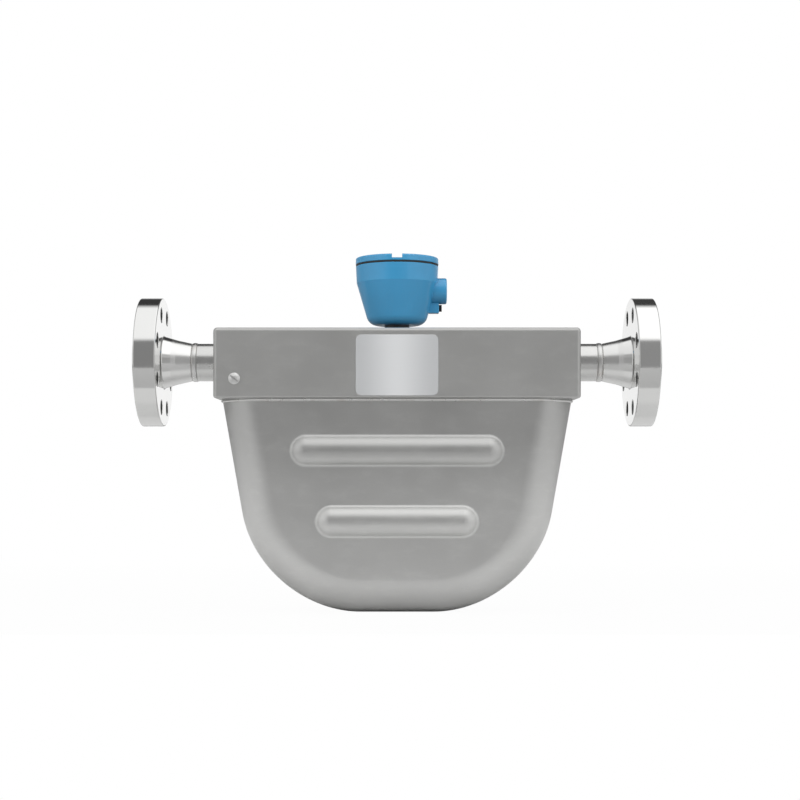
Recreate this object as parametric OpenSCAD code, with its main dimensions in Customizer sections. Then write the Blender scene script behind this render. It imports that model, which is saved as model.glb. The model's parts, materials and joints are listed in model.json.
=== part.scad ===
// Coriolis mass flow meter: twin vibrating U tubes in a drawn steel case, between weld-neck flanges.
// Origin: centre of the inlet raised face. +X runs along the pipe to the outlet, +Z up to the head.

/* [Process flanges] */
// Distance between the two raised faces
face_to_face = 670; // [620:2:760]
// Outside diameter of each flange
flange_d = 165; // [150:1:190]
// Thickness of a flange behind its raised face
flange_t = 28; // [18:0.1:32]
// Diameter of the raised sealing face
raised_face_d = 92.1; // [80:0.1:100]
// Height of the raised sealing face
raised_face_h = 6.35; // [1.6:0.05:7]
// Diameter of the bolt circle
bolt_circle_d = 127; // [115:0.5:140]
// Diameter of each bolt hole
bolt_hole_d = 19.05; // [14:0.05:22]
// Number of bolt holes, straddling the centrelines
bolt_count = 8; // [4:4:12]
// Hub diameter where it leaves the flange
hub_base_d = 67; // [60:0.5:84]
// Length of the tapered hub
hub_l = 36.5; // [25:0.5:50]
// Width of the weld between hub and stub pipe
weld_w = 8; // [6:0.5:16]
// Height of the weld bead over the pipe
weld_rise = 1; // [0.5:0.1:3]

/* [Stub pipes] */
// Outside diameter of the stub pipes
pipe_d = 48.3; // [42:0.1:56]
// Wall of the stub pipes
pipe_wall = 3.7; // [2.8:0.1:5]

/* [Brace box] */
// Length of the box along the pipe
box_w = 458; // [420:1:480]
// Depth of the box, front to back
box_depth = 156; // [140:1:170]
// Height of the box over the pipe axis
box_above = 38.8; // [34:0.2:50]
// Depth of the box under the pipe axis
box_below = 46.2; // [44:0.2:60]
// Sheet thickness of the box
box_wall = 4; // [2.5:0.25:6]
// Outer bend radius of the box edges
box_edge_r = 5; // [3:0.5:10]

/* [Base plate] */
// Thickness of the plate between box and case
plate_t = 3; // [2:0.25:6]
// Hole in the plate for the sensor leads
lead_hole_d = 20; // [12:1:30]

/* [Case] */
// Width of the case at its top edge
case_top_w = 444; // [420:1:456]
// Width of the flat at the bottom of the case
case_flat_w = 94; // [70:1:150]
// Outline radius of the two lower corners
case_corner_r = 152; // [120:1:165]
// Depth of the case bottom under the pipe axis
case_drop = 319; // [300:1:380]
// Depth of the case, front to back
case_depth = 151; // [136:1:154]
// Drawn radius between case faces and sides
case_edge_r = 46; // [30:1:60]
// Sheet thickness of the case
case_wall = 3; // [2:0.25:4]

/* [Pressed ribs] */
// Width of the upper rib
upper_rib_w = 264; // [200:1:290]
// Height of the upper rib
upper_rib_h = 37; // [28:1:44]
// Depth of the upper rib under the pipe axis
upper_rib_drop = 114.6; // [100:0.2:130]
// Width of the lower rib
lower_rib_w = 201; // [150:1:220]
// Height of the lower rib
lower_rib_h = 38; // [28:1:44]
// Depth of the lower rib under the pipe axis
lower_rib_drop = 202.7; // [185:0.2:215]
// How far the ribs stand out
rib_rise = 10; // [6:0.5:12]

/* [Flow tubes] */
// Outside diameter of a flow tube
tube_d = 28.6; // [20:0.1:32]
// Wall of a flow tube
tube_wall = 1.65; // [1:0.05:2.5]
// Distance between the axes of the two flow tubes
tube_spacing = 64; // [56:0.5:72]
// Distance between the two legs of a tube
leg_spacing = 330; // [280:1:340]
// Bend radius of a tube
bend_r = 95; // [70:1:110]
// Gap between the tubes and the bottom of the case
tube_floor_gap = 30.7; // [16:0.1:50]

/* [Manifolds] */
// How far the cross header stands out round the stub pipe
header_rise = 2.85; // [2:0.05:6]
// Wall of the cross header
header_wall = 4.8; // [3.5:0.1:6]
// Wall of the arms round the flow tubes
arm_wall = 3.7; // [2.2:0.1:6]
// Length of an arm between header and tube end
arm_land = 3; // [2:0.5:6]
// Depth of a tube socket
socket_depth = 14; // [8:0.5:16]

/* [Brace bars] */
// Thickness of a brace bar
bar_t = 3; // [2:0.25:5]
// Rim of a brace bar round the tubes
bar_rim = 6; // [4:0.5:10]
// Depth of the upper brace bars under the pipe axis
upper_bar_drop = 76; // [66:1:88]
// Depth of the lower brace bars under the pipe axis
lower_bar_drop = 102; // [94:1:120]

/* [Drive and pickoffs] */
// Height of the pickoffs over the start of the bends
pickoff_rise = 17; // [12:1:36]
// Diameter of a coil
coil_d = 22; // [16:0.5:24]
// Length of a coil
coil_l = 14; // [8:0.5:16]
// Bore of a coil
coil_bore_d = 13; // [10:0.5:14]
// Diameter of a magnet
magnet_d = 9; // [6:0.5:10]
// How far a magnet reaches into its coil
magnet_reach = 5; // [2:0.5:10]
// Thickness of the bracket pads over the tubes
pad_t = 3; // [2:0.5:5]
// Size of the square bracket pads
pad_w = 22; // [16:1:26]
// Height of the temperature element over the pickoffs
sensor_rise = 30; // [21:1:44]

/* [Neck] */
// Diameter of the neck
neck_d = 32; // [30:0.5:40]
// Height of the neck over the box
neck_h = 8.8; // [5:0.1:20]
// Bore of the neck for the feedthrough
neck_bore_d = 16; // [14:0.5:16]
// Diameter of a feedthrough pin
pin_d = 1; // [0.6:0.1:1.5]

/* [Core housing] */
// Cone diameter at the bottom plane of the housing
cup_low_d = 72.4; // [64:0.2:76]
// Diameter at the crease
cup_crease_d = 104.4; // [96:0.2:110]
// Diameter at the rim
cup_rim_d = 106.6; // [100:0.2:112]
// Height of the crease over the bottom
cup_crease_h = 54.4; // [50:0.1:60]
// Height of the housing
cup_h = 76; // [72:0.1:90]
// Outer radius at the bottom edge
cup_fillet_r = 15; // [8:0.5:18]
// Wall of the cone
cup_wall = 4; // [3:0.25:5]
// Thickness of the floor
cup_floor = 4.5; // [4:0.25:8]
// Bore for the cover thread
cup_thread_d = 92.6; // [88:0.2:96]

/* [Conduit entry and ground lug] */
// Diameter of the conduit boss
boss_d = 33.5; // [28:0.5:36]
// Height of the conduit axis over the housing bottom
boss_h = 44.4; // [42:0.1:50]
// Reach of the conduit boss from the housing axis
boss_reach = 64; // [58:0.5:76]
// Bore of the conduit thread
entry_d = 18.4; // [16:0.1:20]
// Side of the square ground lug
lug_w = 13.4; // [10:0.1:14]
// Reach of the ground lug from the housing axis
lug_reach = 54; // [50:0.5:58]
// Height of the lug axis over the housing bottom
lug_h = 22.4; // [20:0.1:25]

/* [Cover] */
// Outside diameter of the cover
cover_d = 107; // [100:0.5:114]
// Height of the cover over its gasket
cover_h = 8.1; // [6:0.1:12]
// Thickness of the cover inside its rim
cover_plate_t = 3; // [2:0.25:5]
// Radial width of the castellated rim
rim_w = 9.5; // [5:0.5:14]
// Width of a wrench notch
notch_w = 12.9; // [8:0.1:18]
// Number of wrench notches
notch_count = 4; // [2:2:8]
// Length of the threaded skirt
skirt_l = 13; // [8:0.5:16]
// Wall of the threaded skirt
skirt_wall = 4; // [3:0.5:6]
// Thickness of the cover gasket
gasket_t = 2.2; // [1.5:0.1:3]

/* [Core processor] */
// Height of the core processor
core_h = 30; // [24:0.5:33]
// Length of the terminal block
block_l = 46; // [36:1:54]
// Width of the terminal block
block_w = 16; // [12:0.5:17]
// Height of the terminal block
block_h = 11; // [8:0.5:12]
// Number of terminals
terminal_count = 4; // [2:1:5]

/* [Front details] */
// Width of the nameplate
nameplate_w = 102.6; // [80:0.2:120]
// Height of the nameplate
nameplate_h = 75.8; // [60:0.1:80]
// Corner radius of the nameplate
nameplate_r = 7; // [3:0.5:12]
// Thickness of the nameplate
nameplate_t = 0.8; // [0.5:0.1:2]
// How far the nameplate sits under the middle of the box front
nameplate_low = 4.5; // [0:0.1:6]
// Head diameter of the case ground screw
case_screw_d = 14.6; // [10:0.2:18]
// Distance of the case ground screw from the end of the box
case_screw_x = 26.4; // [18:0.2:60]
// Height of the case ground screw over the bottom of the box
case_screw_z = 21.2; // [16:0.1:60]

/* [Hidden] */
$fn = 96;
cut = 1;           // overrun of a cutting solid
weld_gap = 0.1;    // radial gap of a part welded or brazed into a hole
pass_gap = 0.3;    // radial gap where a pipe passes through sheet
thread_gap = 0.3;  // radial gap of the cover thread
seat_gap = 0.1;    // gap over and under the cover gasket
screw_gap = 0.2;   // radial gap of a screw in its clearance hole
thread_bite = 0.02; // radial gap of a screw in its threaded hole

mid_x = face_to_face/2;
pipe_r = pipe_d/2;
bore_r = pipe_r - pipe_wall;
weld_x = raised_face_h + flange_t + hub_l;
stub_x = weld_x + weld_w;
plate_z = -box_below;
case_z = plate_z - plate_t;
plate_edge_flat = 0.2;  // straight part of the base plate's edge over its rounding
neck_z = box_above + neck_h;

// Case outline: the straight sides are tangent to the lower corners
corner_x = case_flat_w/2;
corner_z = case_corner_r - case_drop;
side_run = [case_top_w/2 - corner_x, case_z - corner_z];
side_taper = acos(case_corner_r/norm(side_run)) - atan2(side_run[1], side_run[0]);
side_l = norm(side_run);

tube_r = tube_d/2;
tube_bore_r = tube_r - tube_wall;
leg_x = leg_spacing/2;
tube_drop = case_drop - case_wall - tube_floor_gap - tube_r;
bend_z = bend_r - tube_drop;
pickoff_drop = -bend_z - pickoff_rise;
sensor_drop = pickoff_drop - sensor_rise;
header_r = pipe_r + header_rise;
arm_r = tube_r + arm_wall;
socket_z = -header_r - arm_land;
arm_end_z = socket_z - socket_depth;
header_end = 4;         // how far the cross header runs past its arms
half_gap = tube_spacing/2 - tube_r - pad_t;

cup_z = neck_z;
cup_rim_z = cup_z + cup_h;
cup_inner_r = cup_thread_d/2;
gasket_z = cup_rim_z + seat_gap;
cover_z = gasket_z + gasket_t + seat_gap;
skirt_r = cup_inner_r - thread_gap;
cone_angle = atan2((cup_crease_d - cup_low_d)/2, cup_crease_h);
floor_z = cup_z + cup_floor;
core_top_z = floor_z + core_h;

header_t = 5;           // thickness of the feedthrough
pin_seal = 0.05;        // radial gap of a pin in its glass seal
lead_r = 0.8;           // radius of an internal lead
sensor_w = 12;          // width of the temperature element
housing_screw_r = 2;    // shank radii of the screws
core_screw_r = 1.75;
terminal_screw_r = 1.5;
ground_screw_r = 2.5;
inner_screw_r = 2;
ground_screw_l = 9;     // shank lengths of the two ground screws
inner_screw_l = 8;
spigot_r = neck_d/2 - 4.5;
housing_screw_ring = (neck_d/2 + neck_bore_d/2)/2;
core_screw_ring = 24;
terminal_pitch = block_l/(terminal_count + 0.6);
case_screw_shank_r = case_screw_d*0.22;

// ---------- shared shapes ----------

// Points along an arc round (x, y), in the plane of a profile
function arc(x, y, r, from, to, steps = 8) =
    [for (i = [0:steps]) let (a = from + (to - from)*i/steps) [x + r*cos(a), y + r*sin(a)]];

// Cylinders along the row's axes, from their own base
module bar_x(r, h) { rotate([0, 90, 0]) cylinder(r = r, h = h); }
module bar_y(r, h) { rotate([-90, 0, 0]) cylinder(r = r, h = h); }

// Centre of the meter, on the pipe axis
module at_centre() { translate([mid_x, 0, 0]) children(); }

// The outlet side is the inlet side turned half a turn about the vertical through the centre
module at_outlet() { translate([2*mid_x, 0, 0]) rotate([0, 0, 180]) children(); }

// The rear half is the front half turned about the same vertical
module at_rear() { at_centre() rotate([0, 0, 180]) translate([-mid_x, 0, 0]) children(); }

// A screw with its head above z = 0 and its shank below
module screw(head_r, head_h, shank_r, shank_l) {
    cylinder(r = head_r, h = head_h);
    translate([0, 0, -shank_l]) cylinder(r = shank_r, h = shank_l + cut);
}

module socket_screw(head_r, head_h, shank_r, shank_l) {
    difference() {
        screw(head_r, head_h, shank_r, shank_l);
        translate([0, 0, head_h/2]) cylinder(r = head_r*0.5, h = head_h, $fn = 6);
    }
}

module slotted_screw(head_r, head_h, shank_r, shank_l) {
    difference() {
        screw(head_r, head_h, shank_r, shank_l);
        translate([-head_r - cut, -head_r*0.12, head_h*0.5])
            cube([2*head_r + 2*cut, head_r*0.24, head_h]);
    }
}

// ---------- flanges and manifolds ----------

// Turned weld-neck flange with its weld bead, from the raised face at x = 0
module flange_body() {
    edge = 1.5;
    r = flange_d/2;
    back = raised_face_h + flange_t;
    weld_mid = weld_x + weld_w/2;
    bead_r = (pow(weld_w/2, 2) + pow(weld_rise, 2))/(2*weld_rise);
    bead_half = asin(weld_w/2/bead_r);
    profile = concat(
        [[bore_r, 0], [raised_face_d/2 - 0.5, 0], [raised_face_d/2, 0.5], [raised_face_d/2, raised_face_h]],
        [[r - edge, raised_face_h], [r, raised_face_h + edge], [r, back - edge], [r - edge, back]],
        [[hub_base_d/2 + 3, back], [hub_base_d/2 + 0.9, back + 0.9], [hub_base_d/2, back + 3]],
        [[pipe_r + 1, weld_x - 3], [pipe_r, weld_x]],
        arc(pipe_r + weld_rise - bead_r, weld_mid, bead_r, -bead_half, bead_half, 6),
        [[bore_r, stub_x]]
    );
    rotate([0, 90, 0]) rotate_extrude() polygon(profile);
}

module flange() {
    color("gainsboro") difference() {
        flange_body();
        for (i = [0:bolt_count - 1])
            rotate([(i + 0.5)*360/bolt_count, 0, 0])
                translate([raised_face_h - cut, 0, bolt_circle_d/2]) bar_x(bolt_hole_d/2, flange_t + 2*cut);
    }
}

module inlet_flange() { flange(); }
module outlet_flange() { at_outlet() flange(); }

// Stub pipe, cross header and the two arms that point down, less inset all round
module manifold_skin(pipe_side_r, inset, arm_side_r, end_z) {
    r = header_r - inset;
    half = tube_spacing/2 + arm_r + header_end - inset;
    edge = 5;
    profile = [
        [0, -half], [r - edge, -half], [r, edge - half], [r, half - edge], [r - edge, half], [0, half]
    ];
    translate([stub_x, 0, 0]) bar_x(pipe_side_r, mid_x - leg_x - stub_x);
    translate([mid_x - leg_x, 0, 0]) rotate([90, 0, 0]) rotate_extrude() polygon(profile);
    for (s = [-1, 1]) translate([mid_x - leg_x, s*tube_spacing/2, end_z])
        cylinder(r = arm_side_r, h = -end_z);
}

// Cast flow splitter, with a socket for each flow tube
module manifold() {
    color("silver") difference() {
        manifold_skin(pipe_r, 0, arm_r, arm_end_z);
        manifold_skin(bore_r, header_wall, tube_bore_r, arm_end_z - cut);
        translate([stub_x - cut, 0, 0]) bar_x(bore_r, 2*cut);
        for (s = [-1, 1]) translate([mid_x - leg_x, s*tube_spacing/2, arm_end_z - cut])
            cylinder(r = tube_r + weld_gap, h = socket_depth + cut);
    }
}

module inlet_manifold() { manifold(); }
module outlet_manifold() { at_outlet() manifold(); }

// ---------- flow tubes and what they carry ----------

// Right half of one bent tube of radius r, about the centre line of the meter
module half_run(r) {
    translate([leg_x, 0, bend_z]) cylinder(r = r, h = socket_z - bend_z);
    translate([leg_x - bend_r, 0, bend_z]) rotate([90, 0, 0])
        rotate_extrude(start = -90, angle = 90) translate([bend_r, 0]) circle(r = r);
    translate([0, 0, -tube_drop]) bar_x(r, leg_x - bend_r);
}

module run(r) {
    half_run(r);
    mirror([1, 0, 0]) half_run(r);
}

module flow_tube() {
    color("lightgray") difference() {
        run(tube_r);
        run(tube_bore_r);
    }
}

module flow_tube_front() { at_centre() translate([0, -tube_spacing/2, 0]) flow_tube(); }
module flow_tube_rear() { at_centre() translate([0, tube_spacing/2, 0]) flow_tube(); }

// Flat bar that ties the two legs of one side together; side is -1 at the inlet
module brace_bar(side, drop) {
    half_w = tube_r + bar_rim;
    half_d = tube_spacing/2 + half_w;
    corner = half_w/2;
    outline = [
        [half_w, half_d - corner], [half_w - corner, half_d],
        [corner - half_w, half_d], [-half_w, half_d - corner],
        [-half_w, corner - half_d], [corner - half_w, -half_d],
        [half_w - corner, -half_d], [half_w, corner - half_d]
    ];
    color("silver") at_centre() translate([side*leg_x, 0, -drop - bar_t/2]) difference() {
        linear_extrude(height = bar_t) polygon(outline);
        for (s = [-1, 1]) translate([0, s*tube_spacing/2, -cut])
            cylinder(r = tube_r + weld_gap, h = bar_t + 2*cut);
    }
}

module inlet_upper_brace_bar() { brace_bar(-1, upper_bar_drop); }
module inlet_lower_brace_bar() { brace_bar(-1, lower_bar_drop); }
module outlet_upper_brace_bar() { brace_bar(1, upper_bar_drop); }
module outlet_lower_brace_bar() { brace_bar(1, lower_bar_drop); }

// Places of the coils on the meter's centre plane: inlet pickoff, drive, outlet pickoff
coil_places = [[-leg_x, -pickoff_drop], [0, -tube_drop], [leg_x, -pickoff_drop]];

module at_coil(i) { at_centre() translate([coil_places[i][0], 0, coil_places[i][1]]) children(); }

// Saddle pad brazed on the front tube, facing the rear one; turn is 90 on the level tube
module tube_bracket(turn) {
    seat = 7;
    color("darkgray") rotate([0, turn, 0]) difference() {
        translate([-pad_w/2, -half_gap - pad_t - tube_r + seat, -pad_w/2])
            cube([pad_w, tube_r - seat + pad_t, pad_w]);
        translate([0, -tube_spacing/2, -pad_w]) cylinder(r = tube_r + weld_gap, h = 2*pad_w);
    }
}

module front_tube_brackets() { for (i = [0:2]) at_coil(i) tube_bracket(i == 1 ? 90 : 0); }
module rear_tube_brackets() { for (i = [0:2]) at_coil(i) rotate([0, 0, 180]) tube_bracket(i == 1 ? 90 : 0); }

// Potted coil on its bobbin, open towards the magnet
module coil(i) {
    flange_l = 1.5;
    groove = 1.2;
    r = coil_d/2;
    profile = [
        [coil_bore_d/2, 0], [r, 0], [r, flange_l], [r - groove, flange_l],
        [r - groove, coil_l - flange_l], [r, coil_l - flange_l], [r, coil_l], [coil_bore_d/2, coil_l]
    ];
    color("peru") at_coil(i) translate([0, -half_gap, 0]) rotate([-90, 0, 0])
        rotate_extrude() polygon(profile);
}

module drive_coil() { coil(1); }
module inlet_pickoff_coil() { coil(0); }
module outlet_pickoff_coil() { coil(2); }

// Magnet on its round keeper, reaching into the coil
module magnet(i) {
    keeper_t = 3;
    tip_y = -half_gap + coil_l - magnet_reach;
    color("dimgray") at_coil(i) {
        translate([0, half_gap - keeper_t, 0]) bar_y(pad_w/2 - 1, keeper_t);
        translate([0, tip_y, 0]) bar_y(magnet_d/2, half_gap - keeper_t/2 - tip_y);
    }
}

module drive_magnet() { magnet(1); }
module inlet_pickoff_magnet() { magnet(0); }
module outlet_pickoff_magnet() { magnet(2); }

// Potted temperature element on the inlet leg of the front tube
module temperature_sensor() {
    seat = tube_r*0.63;
    body_l = 18;
    rise = 4;
    color("ivory") at_centre() translate([-leg_x, -tube_spacing/2, -sensor_drop]) difference() {
        translate([-sensor_w/2, seat, -body_l/2]) cube([sensor_w, tube_r - seat + rise, body_l]);
        translate([0, 0, -body_l]) cylinder(r = tube_r + weld_gap, h = 2*body_l);
    }
}

// One lead through points that differ along one axis at a time
module lead(points) {
    for (i = [0:len(points) - 2]) {
        d = points[i + 1] - points[i];
        turn = d[0] != 0 ? [0, 90*sign(d[0]), 0] : d[1] != 0 ? [-90*sign(d[1]), 0, 0]
            : [d[2] < 0 ? 180 : 0, 0, 0];
        translate(points[i]) rotate(turn) cylinder(r = lead_r, h = norm(d));
        if (i > 0) translate(points[i]) sphere(r = lead_r);
    }
}

// Leads from the coils and the temperature element up through the base plate to the feedthrough
module sensor_leads() {
    pitch = 3;
    coil_y = -half_gap + coil_l/2;
    up_x = leg_x - tube_r - bar_rim - 4;
    bus_z = case_z - 6;
    end_z = box_above - box_wall - 8;
    sensor_x = sensor_w/2 + weld_gap;
    sensor_y = -tube_spacing/2 + tube_r + 1.5;
    hole_y = coil_y + pitch;
    color("white") at_centre() {
        for (s = [-1, 1]) lead([
            [s*(leg_x - coil_d/2 + 1), coil_y, -pickoff_drop], [s*up_x, coil_y, -pickoff_drop],
            [s*up_x, coil_y, bus_z], [s*pitch, coil_y, bus_z], [s*pitch, coil_y, end_z]
        ]);
        lead([[0, coil_y, coil_d/2 - 1 - tube_drop], [0, coil_y, end_z]]);
        lead([
            [-leg_x + sensor_x, sensor_y, -sensor_drop], [pitch + 1 - up_x, sensor_y, -sensor_drop],
            [pitch + 1 - up_x, sensor_y, bus_z - pitch - 1], [-2*pitch, sensor_y, bus_z - pitch - 1],
            [-2*pitch, hole_y, bus_z - pitch - 1], [-2*pitch, hole_y, end_z]
        ]);
    }
}

// ---------- case ----------

// One corner of the drawn pan: a disc whose front edge is rounded
module corner_disc(inset) {
    r = case_corner_r - inset;
    e = case_edge_r - inset;
    d = case_depth/2 - inset;
    profile = concat([[0, 0], [r, 0]], arc(r - e, d - e, e, 0, 90, 7), [[0, d]]);
    rotate([90, 0, 0]) rotate_extrude($fn = 64) polygon(profile);
}

// Skin of one pan before its top is cut: straight sides run up from the two lower corners
module pan_skin(inset) {
    hull() for (s = [-1, 1], up = [0, side_l])
        translate([s*(corner_x + up*sin(side_taper)), 0, corner_z + up*cos(side_taper)]) corner_disc(inset);
}

// Pressed rib: a bar of circular section with round ends, standing rib_rise out of the face
module rib(w, h, drop, inset) {
    r = (h*h/4 + rib_rise*rib_rise)/(2*rib_rise);
    half = (w - h)/2;
    translate([0, r - rib_rise - case_depth/2, -drop]) {
        translate([-half, 0, 0]) bar_x(r - inset, 2*half);
        for (s = [-1, 1]) translate([s*half, 0, 0]) sphere(r = r - inset);
    }
}

module rib_skin(inset) {
    difference() {
        union() {
            rib(upper_rib_w, upper_rib_h, upper_rib_drop, inset);
            rib(lower_rib_w, lower_rib_h, lower_rib_drop, inset);
        }
        translate([-case_top_w/2, case_wall*2 - case_depth/2, -case_drop])
            cube([case_top_w, case_depth, case_drop]);
    }
}

module case_half() {
    color("silver") at_centre() difference() {
        union() {
            pan_skin(0);
            rib_skin(0);
        }
        pan_skin(case_wall);
        rib_skin(case_wall);
        translate([-mid_x, -case_depth, case_z]) cube([2*mid_x, 2*case_depth, case_drop]);
    }
}

module case_front() { case_half(); }
module case_rear() { at_rear() case_half(); }

// ---------- brace box ----------

// Bottom of the box, rounded along its lower edge, with holes for the four tube legs and the leads
module base_plate() {
    w = box_w/2;
    d = box_depth/2;
    c = box_edge_r;
    r = plate_t - plate_edge_flat;
    side_view = concat(
        [[-plate_z, d], [-plate_z, -d]],
        arc(-case_z - r, r - d, r, 270, 360), arc(-case_z - r, d - r, r, 0, 90)
    );
    front_view = concat(
        [[w, plate_z], [-w, plate_z]],
        arc(r - w, case_z + r, r, 180, 270), arc(w - r, case_z + r, r, 270, 360)
    );
    color("silver") at_centre() difference() {
        intersection() {
            rotate([0, 90, 0]) linear_extrude(height = box_w, center = true) polygon(side_view);
            rotate([90, 0, 0]) linear_extrude(height = box_depth, center = true) polygon(front_view);
            translate([0, 0, case_z]) linear_extrude(height = plate_t) polygon(concat(
                arc(c - w, c - d, c, 180, 270), arc(w - c, c - d, c, 270, 360),
                arc(w - c, d - c, c, 0, 90), arc(c - w, d - c, c, 90, 180)
            ));
        }
        for (x = [-1, 1], y = [-1, 1])
            translate([x*leg_x, y*tube_spacing/2, case_z - cut]) cylinder(r = arm_r, h = plate_t + 2*cut);
        translate([0, 0, case_z - cut]) cylinder(r = lead_hole_d/2, h = plate_t + 2*cut);
    }
}

// Rounded block from the mid-plane to the front, where each edge that shows is bent to a radius
module box_skin(inset) {
    w = box_w/2 - inset;
    d = box_depth/2 - inset;
    top = box_above - inset;
    r = box_edge_r - inset;
    low = plate_z - cut;
    side_view = concat([[-low, cut], [-top, cut]], arc(r - top, r - d, r, 180, 270), [[-low, -d]]);
    top_view = concat(
        [[w, cut], [-w, cut]], arc(r - w, r - d, r, 180, 270), arc(w - r, r - d, r, 270, 360)
    );
    front_view = concat(
        [[-w, low], [w, low]], arc(w - r, top - r, r, 0, 90), arc(r - w, top - r, r, 90, 180)
    );
    intersection() {
        rotate([0, 90, 0]) linear_extrude(height = box_w, center = true) polygon(side_view);
        translate([0, 0, low]) linear_extrude(height = top - low) polygon(top_view);
        rotate([90, 0, 0]) linear_extrude(height = box_depth, center = true) polygon(front_view);
    }
}

// One half of the box, open at the mid-plane and at the bottom
module box_half() {
    at_centre() difference() {
        box_skin(0);
        box_skin(box_wall);
        translate([-box_w, 0, -box_depth]) cube([2*box_w, box_depth, 2*box_depth]);
        translate([-box_w, -box_depth, plate_z - box_depth]) cube([2*box_w, 2*box_depth, box_depth]);
        translate([-box_w, 0, 0]) bar_x(pipe_r + pass_gap, 2*box_w);
        cylinder(r = spigot_r + pass_gap, h = box_above + cut);
    }
}

module box_front() {
    color("silver") difference() {
        box_half();
        at_case_screw() cylinder(r = case_screw_shank_r + screw_gap, h = 4*box_wall, center = true);
    }
}

module box_rear() { color("silver") at_rear() box_half(); }

// ---------- neck and feedthrough ----------

// Places of the four housing screws, from the meter's centre line
module at_housing_screws(z) {
    at_centre() for (a = [45:90:315]) rotate([0, 0, a]) translate([housing_screw_ring, 0, z]) children();
}

// Turned neck welded in the top of the box
module neck() {
    color("black") difference() {
        at_centre() {
            translate([0, 0, box_above]) cylinder(r = neck_d/2, h = neck_h);
            translate([0, 0, box_above - box_wall - 1.5]) cylinder(r = spigot_r, h = box_wall + 3);
        }
        at_centre() cylinder(r = neck_bore_d/2, h = neck_z + cut);
        at_housing_screws(box_above + 0.5) cylinder(r = housing_screw_r + thread_bite, h = neck_h);
    }
}

// Places of the nine pins
module at_pins() {
    at_centre() {
        children();
        for (i = [0:7]) rotate([0, 0, i*45]) translate([neck_bore_d*0.31, 0, 0]) children();
    }
}

module feedthrough() {
    color("darkslategray") difference() {
        at_centre() translate([0, 0, neck_z - header_t - 0.5])
            cylinder(r = neck_bore_d/2 - weld_gap, h = header_t);
        at_pins() translate([0, 0, neck_z - header_t - cut])
            cylinder(r = pin_d/2 + pin_seal, h = header_t + 2*cut);
    }
}

module feedthrough_pins() {
    reach = 5;
    color("gold") at_pins() translate([0, 0, neck_z - header_t - reach])
        cylinder(r = pin_d/2, h = header_t + cup_floor + 2*reach - 1);
}

// ---------- core housing ----------

// Outside of the housing as (radius, height) points from its bottom
function cup_outer() = let (r = cup_fillet_r) concat(
    [[0, 0]],
    arc(cup_low_d/2 + r*tan(cone_angle) - r/cos(cone_angle), r, r, -90, -cone_angle),
    [[cup_crease_d/2, cup_crease_h], [cup_rim_d/2, cup_h - 1], [cup_rim_d/2 - 0.6, cup_h], [0, cup_h]]
);

// Radius of the inner cone at height h over the bottom
function inner_cone_r(h) = cup_low_d/2 - cup_wall/cos(cone_angle) + h*tan(cone_angle);

thread_low_h = (cup_inner_r - inner_cone_r(0))/tan(cone_angle);

// Cavity of the housing: cone from the floor up to the threaded bore
module cup_cavity() {
    r = inner_cone_r(cup_floor);
    profile = [
        [0, cup_floor], [r - 3, cup_floor], [r + 0.9, cup_floor + 3],
        [cup_inner_r, thread_low_h], [cup_inner_r, cup_h + cut], [0, cup_h + cut]
    ];
    rotate_extrude() polygon(profile);
}

// Radius of the cavity, cone or threaded bore, at height h
function cavity_r(h) = min(inner_cone_r(h), cup_inner_r);

// Boss for the ground screw on the wall of the cavity, over the core processor
inner_boss_r = 5;
inner_boss_l = 11.5;
inner_boss_top = core_h + cup_floor + 18;
inner_boss_x = cup_inner_r - inner_boss_r + 0.7;

// Cast head housing with conduit boss, ground lug and inner ground boss
module core_housing() {
    edge = 1.5;
    r = boss_d/2;
    boss_profile = [[0, 0], [r, 0], [r, boss_reach - edge], [r - edge, boss_reach], [0, boss_reach]];
    color("steelblue") difference() {
        at_centre() translate([0, 0, cup_z]) {
            difference() {
                union() {
                    rotate_extrude() polygon(cup_outer());
                    translate([0, 0, boss_h]) rotate([0, 90, 0]) rotate_extrude() polygon(boss_profile);
                    translate([0, -lug_w/2, lug_h - lug_w/2]) cube([lug_reach, lug_w, lug_w]);
                }
                cup_cavity();
                translate([0, 0, boss_h]) bar_x(entry_d/2, boss_reach + cut);
                translate([lug_reach - ground_screw_l - 1, 0, lug_h])
                    bar_x(ground_screw_r + thread_bite, ground_screw_l + 2*cut);
                translate([0, 0, -cut]) cylinder(r = neck_bore_d/2 + 1, h = cup_floor + 2*cut);
            }
            difference() {
                translate([-inner_boss_x, 0, inner_boss_top - inner_boss_l])
                    cylinder(r = inner_boss_r, h = inner_boss_l);
                translate([-inner_boss_x, 0, inner_boss_top - inner_screw_l - 2])
                    cylinder(r = inner_screw_r + thread_bite, h = inner_screw_l + 2 + cut);
            }
        }
        at_housing_screws(cup_z - cut) cylinder(r = housing_screw_r + screw_gap, h = cup_floor + 2*cut);
    }
}

module housing_screws() {
    color("silver") at_housing_screws(floor_z)
        socket_screw(3.5, 4, housing_screw_r, cup_floor + neck_h - 1.5);
}

module outer_ground_screw() {
    color("black") at_centre() translate([lug_reach, 0, cup_z + lug_h]) rotate([0, 90, 0])
        slotted_screw(4.4, 3.6, ground_screw_r, ground_screw_l);
}

module inner_ground_screw() {
    color("goldenrod") at_centre() translate([-inner_boss_x, 0, cup_z + inner_boss_top])
        slotted_screw(3.6, 2.4, inner_screw_r, inner_screw_l);
}

// ---------- core processor ----------

core_gap = 2.5;    // gap between the core processor and the wall of the cavity
pin_room_r = 18;   // recess under the core processor for the pins and the housing screws
pin_room_h = 5.5;

module at_core_screws(z) {
    at_centre() for (a = [30:120:270]) rotate([0, 0, a]) translate([core_screw_ring, 0, z]) children();
}

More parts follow.
